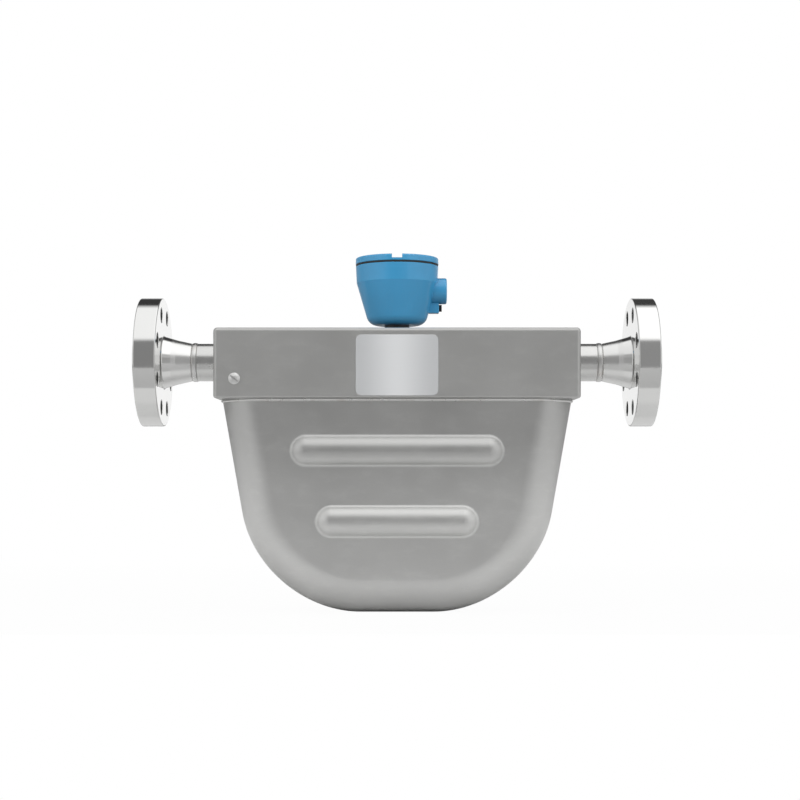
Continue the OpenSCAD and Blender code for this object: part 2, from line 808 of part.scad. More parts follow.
// Potted electronics puck that follows the cone of the housing
module core_processor() {
    low_r = cavity_r(cup_floor) - core_gap - 1.5;
    side_h = 12;
    side_r = cavity_r(cup_floor + side_h) - core_gap;
    top_r = cavity_r(cup_floor + core_h) - core_gap;
    bend_h = min(core_h - 2, thread_low_h - cup_floor);
    side = bend_h > side_h + 1 ? [[side_r, side_h], [cavity_r(cup_floor + bend_h) - core_gap, bend_h]]
        : [[side_r, side_h]];
    profile = concat(
        [[pin_room_r, 0], [low_r, 0]], side,
        [[top_r, core_h - 1], [top_r - 1, core_h], [0, core_h], [0, pin_room_h], [pin_room_r, pin_room_h]]
    );
    color("gray") difference() {
        at_centre() translate([0, 0, floor_z]) rotate_extrude() polygon(profile);
        at_core_screws(floor_z - cut) cylinder(r = core_screw_r + screw_gap, h = core_h + 2*cut);
    }
}

// Captive screws that end in the floor of the housing
module core_screws() {
    color("silver") at_core_screws(core_top_z) slotted_screw(3.2, 2.6, core_screw_r, core_h - 0.2);
}

module at_terminals(z) {
    at_centre() for (i = [0:terminal_count - 1])
        translate([(i - (terminal_count - 1)/2)*terminal_pitch, 0, z]) children();
}

// Terminal block with a wire slot and a screw well for each terminal
module terminal_block() {
    wall = terminal_pitch*0.15;
    color("darkgreen") difference() {
        at_centre() translate([-block_l/2, -block_w/2, core_top_z]) cube([block_l, block_w, block_h]);
        at_terminals(core_top_z + 2) translate([wall - terminal_pitch/2, -block_w/2 - cut, 0])
            cube([terminal_pitch - 2*wall, block_w*0.3 + cut, block_h*0.5]);
        at_terminals(core_top_z + block_h*0.7) cylinder(r = terminal_screw_r + 1.6, h = block_h);
        at_terminals(core_top_z + 1) cylinder(r = terminal_screw_r + thread_bite, h = block_h);
    }
}

module terminal_screws() {
    color("silver") at_terminals(core_top_z + block_h*0.7)
        slotted_screw(terminal_screw_r + 1.3, block_h*0.2, terminal_screw_r, block_h*0.5);
}

// ---------- cover ----------

module cover_gasket() {
    edge = gasket_t*0.3;
    out = cover_d/2 - 0.4;
    inner = cup_inner_r + 0.5;
    profile = [
        [inner, 0], [out - edge, 0], [out, edge], [out, gasket_t - edge], [out - edge, gasket_t],
        [inner, gasket_t]
    ];
    color("black") at_centre() translate([0, 0, gasket_z]) rotate_extrude() polygon(profile);
}

// Screw-on cover: threaded skirt, recessed plate and castellated rim
module cover() {
    r = cover_d/2;
    edge = 2.2;
    skirt_in = skirt_r - skirt_wall;
    profile = concat(
        [[skirt_in, -skirt_l], [skirt_r - 0.8, -skirt_l], [skirt_r, 0.8 - skirt_l], [skirt_r, 0]],
        [[r - 0.5, 0], [r, 0.5]], arc(r - edge, cover_h - edge, edge, 0, 90, 6),
        [[r - rim_w, cover_h], [r - rim_w - 1, cover_plate_t], [0, cover_plate_t], [0, 0], [skirt_in, 0]]
    );
    color("steelblue") at_centre() translate([0, 0, cover_z]) difference() {
        rotate_extrude() polygon(profile);
        for (i = [0:notch_count/2 - 1]) rotate([0, 0, i*360/notch_count])
            translate([-notch_w/2, -cover_d, cover_plate_t]) cube([notch_w, 2*cover_d, cover_h]);
    }
}

// ---------- front of the box ----------

module nameplate() {
    w = nameplate_w/2 - nameplate_r;
    h = nameplate_h/2 - nameplate_r;
    centre_z = (box_above - box_below)/2 - nameplate_low;
    outline = concat(
        arc(w, h, nameplate_r, 0, 90), arc(-w, h, nameplate_r, 90, 180),
        arc(-w, -h, nameplate_r, 180, 270), arc(w, -h, nameplate_r, 270, 360)
    );
    color("lightgray") at_centre() translate([0, -box_depth/2, centre_z]) rotate([90, 0, 0])
        linear_extrude(height = nameplate_t) polygon(outline);
}

module at_case_screw() {
    at_centre() translate([case_screw_x - box_w/2, -box_depth/2, case_screw_z - box_below])
        rotate([90, 0, 0]) children();
}

module case_ground_screw() {
    color("silver") at_case_screw() rotate([0, 0, -38])
        slotted_screw(case_screw_d/2, 3.4, case_screw_shank_r, box_wall - 0.5);
}

inlet_flange();
outlet_flange();
inlet_manifold();
outlet_manifold();
flow_tube_front();
flow_tube_rear();
inlet_upper_brace_bar();
inlet_lower_brace_bar();
outlet_upper_brace_bar();
outlet_lower_brace_bar();
front_tube_brackets();
rear_tube_brackets();
drive_coil();
inlet_pickoff_coil();
outlet_pickoff_coil();
drive_magnet();
inlet_pickoff_magnet();
outlet_pickoff_magnet();
temperature_sensor();
sensor_leads();
case_front();
case_rear();
base_plate();
box_front();
box_rear();
neck();
feedthrough();
feedthrough_pins();
core_housing();
housing_screws();
core_processor();
core_screws();
terminal_block();
terminal_screws();
inner_ground_screw();
outer_ground_screw();
cover_gasket();
cover();
nameplate();
case_ground_screw();
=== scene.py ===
"""Looks of a coriolis mass flow meter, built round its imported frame.

Sizes are in millimetres in the frame's axes: +X along the pipe to the outlet, +Z up to the head and -Y to
the nameplate.
"""

import json
import logging
import math
from contextlib import contextmanager
from dataclasses import dataclass
from enum import Enum
from typing import Callable, Iterator, Optional, Sequence, Union

import bmesh
import bpy
from mathutils import Matrix, Vector


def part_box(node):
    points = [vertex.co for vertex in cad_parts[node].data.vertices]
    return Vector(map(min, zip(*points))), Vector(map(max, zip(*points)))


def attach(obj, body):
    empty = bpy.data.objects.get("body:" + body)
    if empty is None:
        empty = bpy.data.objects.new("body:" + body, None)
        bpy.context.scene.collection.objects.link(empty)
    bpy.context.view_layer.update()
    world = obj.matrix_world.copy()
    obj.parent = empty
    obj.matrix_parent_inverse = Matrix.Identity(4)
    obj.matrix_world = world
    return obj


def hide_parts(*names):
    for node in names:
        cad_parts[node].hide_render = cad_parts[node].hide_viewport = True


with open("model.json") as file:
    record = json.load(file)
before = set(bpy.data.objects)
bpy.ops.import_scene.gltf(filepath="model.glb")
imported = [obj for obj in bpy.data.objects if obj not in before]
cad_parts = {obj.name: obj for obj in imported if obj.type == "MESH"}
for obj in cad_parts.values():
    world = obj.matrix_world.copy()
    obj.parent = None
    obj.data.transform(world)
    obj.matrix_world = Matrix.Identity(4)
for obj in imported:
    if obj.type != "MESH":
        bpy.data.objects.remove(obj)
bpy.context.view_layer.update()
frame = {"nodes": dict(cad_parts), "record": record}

log = logging.getLogger("flow_meter")
MM = 0.001
AXIS_R = 0.01  # radius that stands for 0 while a profile is turned
Point = tuple[float, float]
Profile = list[Point]


class Facing(Enum):
    """Where a piece turned about its own +Z points, as Euler angles in degrees."""

    UP = (0, 0, 0)
    OUTLET = (0, 90, 0)
    INLET = (0, -90, 0)
    FRONT = (90, 0, 0)
    REAR = (-90, 0, 0)


class Pick(Enum):
    """What a selection is made of."""

    POINTS = "VERT"
    EDGES = "EDGE"
    FACES = "FACE"


class Cut(Enum):
    """What a second piece does to the first."""

    TAKE = "DIFFERENCE"
    JOIN = "UNION"


# ---------- shader expressions ----------


class Sock:
    """An output socket or a number that can be used in Python expressions."""

    def __init__(self, sheet: "Sheet", value: object):
        """Keeps the socket or number and the sheet that it is on."""
        self.sheet = sheet
        self.value = value

    def math(self, kind: str, *others: object) -> "Sock":
        """Adds one Math node.

        Args:
            kind: the Math node's operation.
            others: the second and third values, sockets or numbers.

        Returns:
            The node's result.
        """
        inputs = {i: v for i, v in enumerate((self, *others))}
        return self.sheet.node("ShaderNodeMath", inputs, operation=kind)

    def __add__(self, other: object) -> "Sock":
        """Returns self + other."""
        return self.math("ADD", other)

    __radd__ = __add__

    def __mul__(self, other: object) -> "Sock":
        """Returns self * other."""
        return self.math("MULTIPLY", other)

    __rmul__ = __mul__

    def __sub__(self, other: object) -> "Sock":
        """Returns self - other."""
        return self.math("SUBTRACT", other)

    def __rsub__(self, other: object) -> "Sock":
        """Returns other - self."""
        return Sock(self.sheet, other).math("SUBTRACT", self)

    def __truediv__(self, other: object) -> "Sock":
        """Returns self / other."""
        return self.math("DIVIDE", other)

    def __pow__(self, other: object) -> "Sock":
        """Returns self to the power of other."""
        return self.math("POWER", other)

    def __abs__(self) -> "Sock":
        """Returns the size of self."""
        return self.math("ABSOLUTE")

    def step(self, low: float, high: float) -> "Sock":
        """Returns 0 under low and 1 over high, with a smooth rise between them."""
        inputs = {"Value": self, "From Min": low, "From Max": high}
        return self.sheet.node("ShaderNodeMapRange", inputs, interpolation_type="SMOOTHSTEP")

    def between(self, rise: Point, fall: Point) -> "Sock":
        """Returns 1 between a rise and a fall, and 0 outside them."""
        return self.step(*rise) * (1.0 - self.step(*fall))


class Sheet:
    """The node sheet of one material or world."""

    def __init__(self, tree: bpy.types.NodeTree):
        """Starts an empty sheet."""
        self.tree = tree
        tree.nodes.clear()

    def node(
        self, kind: str, inputs: Optional[dict] = None, out: Union[int, str] = 0, **settings: object
    ) -> Sock:
        """Adds a node.

        Args:
            kind: the node's type.
            inputs: values by socket name or number; a Sock is linked, anything else is set.
            out: the output to return.
            settings: properties of the node itself.

        Returns:
            The chosen output.
        """
        made = self.tree.nodes.new(kind)
        for name, value in settings.items():
            setattr(made, name, value)
        for key, value in (inputs or {}).items():
            if isinstance(value, Sock):
                value = value.value
            if isinstance(value, bpy.types.NodeSocket):
                self.tree.links.new(value, made.inputs[key])
            else:
                made.inputs[key].default_value = value
        return Sock(self, made.outputs[out])

    def close(self, surface: Sock, kind: str) -> None:
        """Links a shader to the sheet's output, which is made here."""
        self.tree.links.new(surface.value, self.tree.nodes.new(kind).inputs["Surface"])

    def seen(self, share: object = 1.0) -> Sock:
        """Returns 1 for camera rays, and a share of 1 for rays that come by way of metal or glass."""
        path = self.node("ShaderNodeLightPath", out="Is Camera Ray")
        outs = path.value.node.outputs
        bounced = Sock(self, outs["Is Glossy Ray"]) + Sock(self, outs["Is Transmission Ray"])
        return path.math("MAXIMUM", bounced * share)

    def place(self) -> Sock:
        """Returns the point being shaded, in the piece's own metres."""
        return self.node("ShaderNodeTexCoord", out="Object")

    def axes(self, vector: Sock) -> tuple[Sock, Sock, Sock]:
        """Returns the three parts of a vector."""
        first = self.node("ShaderNodeSeparateXYZ", {0: vector})
        outs = first.value.node.outputs
        return first, Sock(self, outs[1]), Sock(self, outs[2])

    def noise(self, at: Sock, scale: float, detail: float = 3.0, rough: float = 0.55) -> Sock:
        """Returns smooth noise from 0 to 1; scale is in spots a metre."""
        inputs = {"Vector": at, "Scale": scale, "Detail": detail, "Roughness": rough}
        return self.node("ShaderNodeTexNoise", inputs)

    def stretched(self, at: Sock, scale: tuple[float, float, float]) -> Sock:
        """Returns the point with each axis scaled by its own number."""
        return self.node("ShaderNodeMapping", {"Vector": at, "Scale": scale})

    def blend(self, share: object, first: object, second: object) -> Sock:
        """Returns first at share 0 and second at share 1, as colours."""
        return self.node("ShaderNodeMix", {0: share, 6: first, 7: second}, 2, data_type="RGBA")

    def scaled(self, colour: Sock, factor: Sock) -> Sock:
        """Returns a colour made lighter or darker by a factor."""
        return self.node("ShaderNodeVectorMath", {0: colour, 3: factor}, operation="SCALE")

    def bump(self, height: Sock, depth: float) -> Sock:
        """Returns a normal from a height of 0 to 1 that stands depth millimetres."""
        return self.node("ShaderNodeBump", {"Height": height, "Distance": depth * MM, "Strength": 1.0})


Colour = tuple[float, float, float]


@dataclass(frozen=True)
class Finish:
    """What one kind of surface is made of."""

    name: str
    colour: Colour
    roughness: float = 0.4

    def rgba(self, factor: float = 1.0) -> tuple[float, float, float, float]:
        """Returns the finish's colour, lighter or darker by a factor."""
        return (*(min(1.0, c * factor) for c in self.colour), 1.0)

    def paint(self, sheet: Sheet) -> dict:
        """Returns the shader's inputs. Each kind of finish has its own."""
        raise NotImplementedError

    def material(self) -> bpy.types.Material:
        """Returns the material, made once and then shared."""
        found = bpy.data.materials.get(self.name)
        if found:
            return found
        made = bpy.data.materials.new(self.name)
        made.use_nodes = True
        sheet = Sheet(made.node_tree)
        shader = sheet.node("ShaderNodeBsdfPrincipled", self.paint(sheet))
        sheet.close(shader, "ShaderNodeOutputMaterial")
        return made


@dataclass(frozen=True)
class BlastedSteel(Finish):
    """Bead-blasted stainless sheet: even fine grain, faint clouds, rubbed spots, and painted light that makes
    it paler low down, standing in for light from the pale floor.
    """

    grain: float = 1400.0
    depth: float = 0.02
    clouds: float = 0.06
    metallic: float = 1.0
    lift: float = 0.0
    lift_z: Point = (-220.0, -50.0)

    def paint(self, sheet: Sheet) -> dict:
        """Returns the shader's inputs."""
        at = sheet.place()
        cloud = sheet.noise(at, 14, 4)
        rub = sheet.noise(sheet.stretched(at, (1, 1, 2.2)), 45, 5, 0.6)
        fine = sheet.noise(at, self.grain, 2)
        shade = (cloud - 0.5) * (2 * self.clouds) + (fine - 0.5) * 0.10 + 1.0
        # painted light: the colour gets paler towards the bottom, standing in for the floor's reflected light
        if self.lift:
            _, _, z = sheet.axes(at)
            shade = shade + (1.0 - z.step(*(end * MM for end in self.lift_z))) * self.lift
        worn = sheet.blend(rub.step(0.45, 0.75), self.rgba(), self.rgba(1.05))
        return {
            "Base Color": sheet.scaled(worn, shade),
            "Metallic": self.metallic,
            "Roughness": (cloud - 0.5) * 0.10 + (rub - 0.5) * 0.12 + self.roughness,
            "Normal": sheet.bump(fine, self.depth),
        }


@dataclass(frozen=True)
class TurnedSteel(Finish):
    """Lathe-turned steel: fine rings round the X axis, and duller near the middle of the meter."""

    rings: float = 2600.0
    depth: float = 0.002
    middle: float = 335.0
    dull_within: float = 0.0
    dull: float = 0.14

    def paint(self, sheet: Sheet) -> dict:
        """Returns the shader's inputs."""
        at = sheet.node("ShaderNodeMapping", {"Vector": sheet.place(), "Location": (-self.middle * MM, 0, 0)})
        x, y, z = sheet.axes(at)
        along, radius = abs(x), (y * y + z * z) ** 0.5
        line = sheet.node("ShaderNodeCombineXYZ", {0: along * self.rings, 1: radius * self.rings, 2: 0.0})
        ring = sheet.noise(line, 1.0, 3, 0.7)
        cloud = sheet.noise(at, 30, 4)
        near = 1.0 - along.step(self.dull_within * MM, (self.dull_within + 2) * MM)
        base = sheet.blend(cloud, self.rgba(0.97), self.rgba())
        return {
            "Base Color": sheet.scaled(base, (ring - 0.5) * 0.08 + 1.0),
            "Metallic": 1.0,
            "Roughness": (ring - 0.5) * 0.06 + (cloud - 0.5) * 0.06 + near * self.dull + self.roughness,
            "Normal": sheet.bump(ring, self.depth),
        }


@dataclass(frozen=True)
class StubSteel(BlastedSteel):
    """Pickled cast steel that is polished where the stub pipe shows outside the box."""

    middle: float = 335.0
    inside: float = 229.0
    polish: float = 0.18
    paler: float = 0.06

    def paint(self, sheet: Sheet) -> dict:
        """Returns the shader's inputs."""
        found = super().paint(sheet)
        x, _, _ = sheet.axes(sheet.place())
        out = abs(x - self.middle * MM).step((self.inside - 2) * MM, self.inside * MM)
        found["Roughness"] = found["Roughness"] - out * self.polish
        found["Base Color"] = sheet.scaled(found["Base Color"], out * self.paler + 1.0)
        return found


@dataclass(frozen=True)
class Paint(Finish):
    """Powder paint on a casting: slight orange peel and dust in the low spots."""

    peel: float = 420.0
    depth: float = 0.03
    coat: float = 0.8
    coat_roughness: float = 0.16

    def paint(self, sheet: Sheet) -> dict:
        """Returns the shader's inputs."""
        at = sheet.place()
        peel = sheet.noise(at, self.peel, 2)
        cloud = sheet.noise(at, 22, 4)
        return {
            "Base Color": sheet.blend(cloud.step(0.3, 0.75), self.rgba(), self.rgba(1.10)),
            "Roughness": (cloud - 0.5) * 0.12 + (peel - 0.5) * 0.06 + self.roughness,
            "Coat Weight": self.coat,
            "Coat Roughness": self.coat_roughness,
            "Normal": sheet.bump(peel, self.depth),
        }


@dataclass(frozen=True)
class Moulded(Finish):
    """Moulded or potted material: fine grain and a faint mottle."""

    grain: float = 600.0
    depth: float = 0.02
    mottle: float = 0.15
    metallic: float = 0.0

    def paint(self, sheet: Sheet) -> dict:
        """Returns the shader's inputs."""
        at = sheet.place()
        grain = sheet.noise(at, self.grain, 3)
        mottle = sheet.noise(at, 60, 4)
        return {
            "Base Color": sheet.blend(mottle, self.rgba(1 - self.mottle), self.rgba(1 + self.mottle)),
            "Metallic": self.metallic,
            "Roughness": (grain - 0.5) * 0.12 + self.roughness,
            "Normal": sheet.bump(grain, self.depth),
        }


@dataclass(frozen=True)
class Winding(Finish):
    """Enamelled wire wound round the Y axis, with painted shade in the grooves between turns."""

    pitch: float = 0.45
    depth: float = 0.08

    def paint(self, sheet: Sheet) -> dict:
        """Returns the shader's inputs."""
        at = sheet.place()
        _, y, _ = sheet.axes(at)
        wire = abs((y * (math.pi / (self.pitch * MM))).math("SINE"))
        mottle = sheet.noise(at, 150, 3)
        crown = sheet.blend(mottle, self.rgba(0.9), self.rgba(1.15))
        return {
            # painted shade: the colour is darker in the grooves between turns
            "Base Color": sheet.blend(wire, self.rgba(0.45), crown),
            "Metallic": 0.6,
            "Roughness": (mottle - 0.5) * 0.1 + self.roughness,
            "Normal": sheet.bump(wire, self.depth),
        }


@dataclass(frozen=True)
class Brushed(Finish):
    """Sheet brushed along X."""

    streaks: float = 2400.0
    depth: float = 0.004
    stretch: float = 0.012

    def marks(self, sheet: Sheet) -> tuple[Sock, Sock]:
        """Returns the brush streaks and the clouds over them."""
        at = sheet.place()
        streak = sheet.noise(sheet.stretched(at, (self.stretch, 1, 1)), self.streaks, 3, 0.6)
        return streak, sheet.noise(at, 25, 4)

    def paint(self, sheet: Sheet) -> dict:
        """Returns the shader's inputs."""
        streak, cloud = self.marks(sheet)
        base = sheet.blend(cloud, self.rgba(0.96), self.rgba())
        return {
            "Base Color": sheet.scaled(base, (streak - 0.5) * 0.14 + 1.0),
            "Metallic": 1.0,
            "Roughness": (streak - 0.5) * 0.14 + (cloud - 0.5) * 0.08 + self.roughness,
            "Normal": sheet.bump(streak, self.depth),
        }


@dataclass(frozen=True)
class PlateFoil(Brushed):
    """Brushed foil of the nameplate, with a painted sheen that makes it paler towards its middle."""

    depth: float = 0.003
    middle: float = 335.0
    half: float = 51.0
    pale: Colour = (0.73, 0.74, 0.75)

    def paint(self, sheet: Sheet) -> dict:
        """Returns the shader's inputs."""
        x, _, _ = sheet.axes(sheet.place())
        streak, cloud = self.marks(sheet)
        off = abs(x - self.middle * MM) / (self.half * MM)
        # painted sheen: the colour turns paler towards the plate's middle
        shade = sheet.blend(off.step(0.0, 1.0), (*self.pale, 1.0), self.rgba())
        return {
            "Base Color": sheet.scaled(shade, (streak - 0.5) * 0.07 + 1.0),
            "Metallic": 0.35,
            "Roughness": (streak - 0.5) * 0.12 + (cloud - 0.5) * 0.08 + self.roughness,
            "Normal": sheet.bump(streak, self.depth),
        }


@dataclass(frozen=True)
class WeldSteel(Finish):
    """A weld bead: overlapping ripples and a brownish heat tint in spots."""

    ripple: float = 420.0
    depth: float = 0.06
    tint: Colour = (0.52, 0.47, 0.42)
    tinted: float = 0.4

    def paint(self, sheet: Sheet) -> dict:
        """Returns the shader's inputs."""
        at = sheet.place()
        warp = sheet.noise(at, 120, 3)
        x, y, z = sheet.axes(at)
        wave = ((x + y * 1.3 + z * 0.7) * (self.ripple * 2 * math.pi) + warp * 6).math("SINE") * 0.5 + 0.5
        spots = sheet.noise(at, 40, 4).step(0.45, 0.7)
        return {
            "Base Color": sheet.blend(spots * self.tinted, self.rgba(), (*self.tint, 1.0)),
            "Metallic": 1.0,
            "Roughness": (warp - 0.5) * 0.2 + self.roughness,
            "Normal": sheet.bump(wave, self.depth),
        }


# ---------- modelling ----------


def rounded(points: Sequence[tuple], steps: int = 5) -> Profile:
    """Rounds the corners of a profile.

    Args:
        points: (along, radius) or (along, radius, corner radius), in order.
        steps: straight pieces in each rounded corner.

    Returns:
        The profile with an arc in place of each rounded corner.
    """
    out: Profile = []
    for i, point in enumerate(points):
        here = Vector(point[:2])
        size = point[2] if len(point) > 2 else 0
        if not size or i in (0, len(points) - 1):
            out.append((here.x, here.y))
            continue
        back = (Vector(points[i - 1][:2]) - here).normalized()
        ahead = (Vector(points[i + 1][:2]) - here).normalized()
        half = back.angle(ahead) / 2
        reach = size / math.tan(half)
        centre = here + (back + ahead).normalized() * (size / math.sin(half))
        start, end = here + back * reach - centre, here + ahead * reach - centre
        turn = start.angle(end)
        for k in range(steps + 1):
            share = k / steps
            spoke = (start * math.sin((1 - share) * turn) + end * math.sin(share * turn)) / math.sin(turn)
            out.append((centre.x + spoke.x, centre.y + spoke.y))
    return out


def clear() -> None:
    """Leaves edit mode and deselects everything."""
    if bpy.context.object and bpy.context.object.mode != "OBJECT":
        bpy.ops.object.mode_set(mode="OBJECT")
    bpy.ops.object.select_all(action="DESELECT")


class Piece:
    """One piece on the bench. Sizes and places are in millimetres."""

    def __init__(self, obj: bpy.types.Object, name: str):
        """Takes the object under its name."""
        self.obj = obj
        obj.name = obj.data.name = name
        self.name = name

    @classmethod
    def block(cls, name: str, low: Sequence[float], high: Sequence[float]) -> "Piece":
        """Returns a block between two corners."""
        clear()
        low, high = Vector(low) * MM, Vector(high) * MM
        bpy.ops.mesh.primitive_cube_add(size=1, location=(low + high) / 2)
        bpy.context.object.scale = high - low
        return cls(bpy.context.object, name).settle()

    @classmethod
    def rod(cls, name: str, radius: float, length: float, sides: int = 64) -> "Piece":
        """Returns a straight rod up from the origin."""
        clear()
        bpy.ops.mesh.primitive_cylinder_add(
            vertices=sides, radius=radius * MM, depth=length * MM, location=(0, 0, length * MM / 2)
        )
        return cls(bpy.context.object, name).settle()

    @classmethod
    def lathe(cls, name: str, profile: Profile, sides: int = 128, ring: bool = False) -> "Piece":
        """Turns a profile about +Z.

        Args:
            name: the piece's name.
            profile: (height, radius) points.
            sides: faces round the piece.
            ring: True when the last point joins the first; otherwise both ends are capped.

        Returns:
            The turned piece, closed and with its faces outward.
        """
        clear()
        start, first = profile[0][0], max(profile[0][1], AXIS_R)
        bpy.ops.mesh.primitive_circle_add(
            vertices=sides, radius=first * MM, fill_type="NOTHING", location=(0, 0, start * MM)
        )
        piece = cls(bpy.context.object, name).settle()
        with piece.edit():
            bpy.ops.mesh.select_all(action="SELECT")
            height, now = start, first
            for a, r in [*profile[1:], *([profile[0]] if ring else [])]:
                piece.extrude(a - height)
                k = max(r, AXIS_R) / now
                bpy.ops.transform.resize(value=(k, k, 1), center_override=(0, 0, a * MM))
                height, now = a, max(r, AXIS_R)
            if ring:
                bpy.ops.mesh.select_all(action="SELECT")
                bpy.ops.mesh.remove_doubles(threshold=1e-6)
            else:
                bpy.ops.mesh.edge_face_add()
                piece.pick(
                    Pick.POINTS,
                    lambda at, _: abs(at.z - start) < 1e-3 and abs(math.hypot(at.x, at.y) - first) < 1e-2,
                )
                bpy.ops.mesh.edge_face_add()
        return piece.outward()

    @contextmanager
    def edit(self) -> Iterator[None]:
        """Opens the piece in edit mode with nothing selected, and closes it after."""
        self.alone()
        bpy.ops.object.mode_set(mode="EDIT")
        bpy.ops.mesh.select_mode(type="VERT")
        bpy.ops.mesh.select_all(action="DESELECT")
        yield
        bpy.ops.object.mode_set(mode="OBJECT")

    def pick(self, kind: Pick, test: Callable[[Vector, Vector], bool]) -> None:
        """Selects in edit mode what passes a test, and nothing else.

        Args:
            kind: faces, edges or points.
            test: gets the centre in millimetres and the normal, or an edge's direction.
        """
        bpy.ops.mesh.select_mode(type=kind.value)
        bpy.ops.mesh.select_all(action="DESELECT")
        mesh = bmesh.from_edit_mesh(self.obj.data)
        if kind is Pick.FACES:
            found = [(f, f.calc_center_median(), f.normal) for f in mesh.faces]
        elif kind is Pick.EDGES:
            ends = [(e, e.verts[0].co, e.verts[1].co) for e in mesh.edges]
            found = [(e, (a + b) / 2, (b - a).normalized()) for e, a, b in ends]
        else:
            found = [(v, v.co, v.normal) for v in mesh.verts]
        for part, centre, way in found:
            if test(centre / MM, way):
                part.select_set(True)
        bmesh.update_edit_mesh(self.obj.data, loop_triangles=False)

    @staticmethod
    def extrude(height: float) -> None:
        """Draws the selection out along +Z in edit mode."""
        bpy.ops.mesh.extrude_region_move(TRANSFORM_OT_translate={"value": (0, 0, height * MM)})

    @staticmethod
    def bevel(radius: float, segments: int, affect: str = "EDGES") -> None:
        """Rounds the selected edges, or the corners at the selected points, in edit mode."""
        bpy.ops.mesh.bevel(offset=radius * MM, segments=segments, affect=affect)

    def alone(self) -> None:
        """Selects this object only and makes it the active one."""
        clear()
        self.obj.select_set(True)
        bpy.context.view_layer.objects.active = self.obj

    def settle(self) -> "Piece":
        """Moves the object's place, turn and scale into its mesh."""
        self.alone()
        bpy.ops.object.transform_apply(location=True, rotation=True, scale=True)
        return self

    def put(self, facing: Facing, at: Sequence[float], spin: float = 0.0) -> "Piece":
        """Turns the piece to face a way and moves it.

        Args:
            facing: where its +Z goes.
            at: where its origin goes.
            spin: a turn about its own +Z first, in degrees.

        Returns:
            The piece, with its place in its mesh.
        """
        turn = Matrix.Rotation(math.radians(spin), 4, "Z")
        for angle, axis in zip(facing.value, "XYZ"):
            turn = Matrix.Rotation(math.radians(angle), 4, axis) @ turn
        self.obj.matrix_world = Matrix.Translation(Vector(at) * MM) @ turn
        return self.settle()

    def copy(self, name: str) -> "Piece":
        """Returns a copy with its own mesh."""
        self.alone()
        bpy.ops.object.duplicate()
        return Piece(bpy.context.object, name)

    def opposite(self, name: str, centre_x: float) -> "Piece":
        """Returns a copy turned half round about the upright line through centre_x."""
        other = self.copy(name)
        shift = Vector((centre_x * MM, 0, 0))
        other.obj.matrix_world = (
            Matrix.Translation(shift) @ Matrix.Rotation(math.pi, 4, "Z") @ Matrix.Translation(-shift)
        )
        return other.settle()

    def outward(self) -> "Piece":
        """Merges doubles and turns the faces outward."""
        with self.edit():
            bpy.ops.mesh.select_all(action="SELECT")
            bpy.ops.mesh.remove_doubles(threshold=2e-6)
            bpy.ops.mesh.normals_make_consistent(inside=False)
        return self

    def modify(self, kind: str, **settings: object) -> "Piece":
        """Adds a modifier with its settings and applies it."""
        self.alone()
        bpy.ops.object.modifier_add(type=kind)
        made = self.obj.modifiers[-1]
        for name, value in settings.items():
            setattr(made, name, value)
        bpy.ops.object.modifier_apply(modifier=made.name)
        return self

    def combine(self, how: Cut, *others: "Piece") -> "Piece":
        """Joins other pieces to this one or cuts them out of it; they are used up."""
        for other in others:
            self.modify("BOOLEAN", operation=how.value, object=other.obj, solver="EXACT")
            bpy.data.objects.remove(other.obj)
        return self

    def tidy_flats(self, degrees: float = 0.4) -> "Piece":
        """Dissolves the edges that cuts left in flat faces."""
        with self.edit():
            bpy.ops.mesh.select_all(action="SELECT")
            bpy.ops.mesh.remove_doubles(threshold=5e-6)
            bpy.ops.mesh.dissolve_limited(angle_limit=math.radians(degrees))
        return self

    def soften(self, width: float, segments: int = 2, degrees: float = 30, clamp: bool = True) -> "Piece":
        """Rounds every edge that is sharper than an angle."""
        return self.modify(
            "BEVEL",
            width=width * MM,
            segments=segments,
            limit_method="ANGLE",
            angle_limit=math.radians(degrees),
            use_clamp_overlap=clamp,
            miter_outer="MITER_ARC",
        )

    def smooth(self, degrees: float = 35) -> "Piece":
        """Shades the piece smooth up to an angle, with flat faces kept flat."""
        self.alone()
        bpy.ops.object.shade_smooth_by_angle(angle=math.radians(degrees), keep_sharp_edges=False)
        return self.modify("WEIGHTED_NORMAL", weight=60, keep_sharp=True)

    def finish(self, finish: Finish, slot: str, body: str, *nodes: str) -> "Piece":
        """Dresses the piece, says what it rides on and what it stands for.

        Args:
            finish: the finish of its surface.
            slot: the record's material slot; not used.
            body: the body it moves with.
            nodes: the frame's nodes that it replaces.

        Returns:
            The piece.
        """
        self.obj.data.materials.clear()
        self.obj.data.materials.append(finish.material())
        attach(self.obj, body)
        if nodes:
            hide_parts(*nodes)
        log.info("%s: %d faces, %s", self.name, len(self.obj.data.polygons), finish.name)
        return self


# ---------- finishes ----------

FLANGE_STEEL = TurnedSteel("turned_flange_steel", (0.80, 0.80, 0.79), 0.11, dull_within=288)
# painted light: the case's colour is made up to 27% paler towards the bottom
CASE_STEEL = BlastedSteel("blasted_case_steel", (0.55, 0.55, 0.541), 0.42, lift=0.27)
BOX_STEEL = BlastedSteel("blasted_box_steel", (0.57, 0.57, 0.56), 0.50)
WELD = WeldSteel("weld_bead_steel", (0.72, 0.72, 0.71), 0.30)
BLUE = Paint("blue_powder_paint", (0.028, 0.246, 0.465), 0.50)
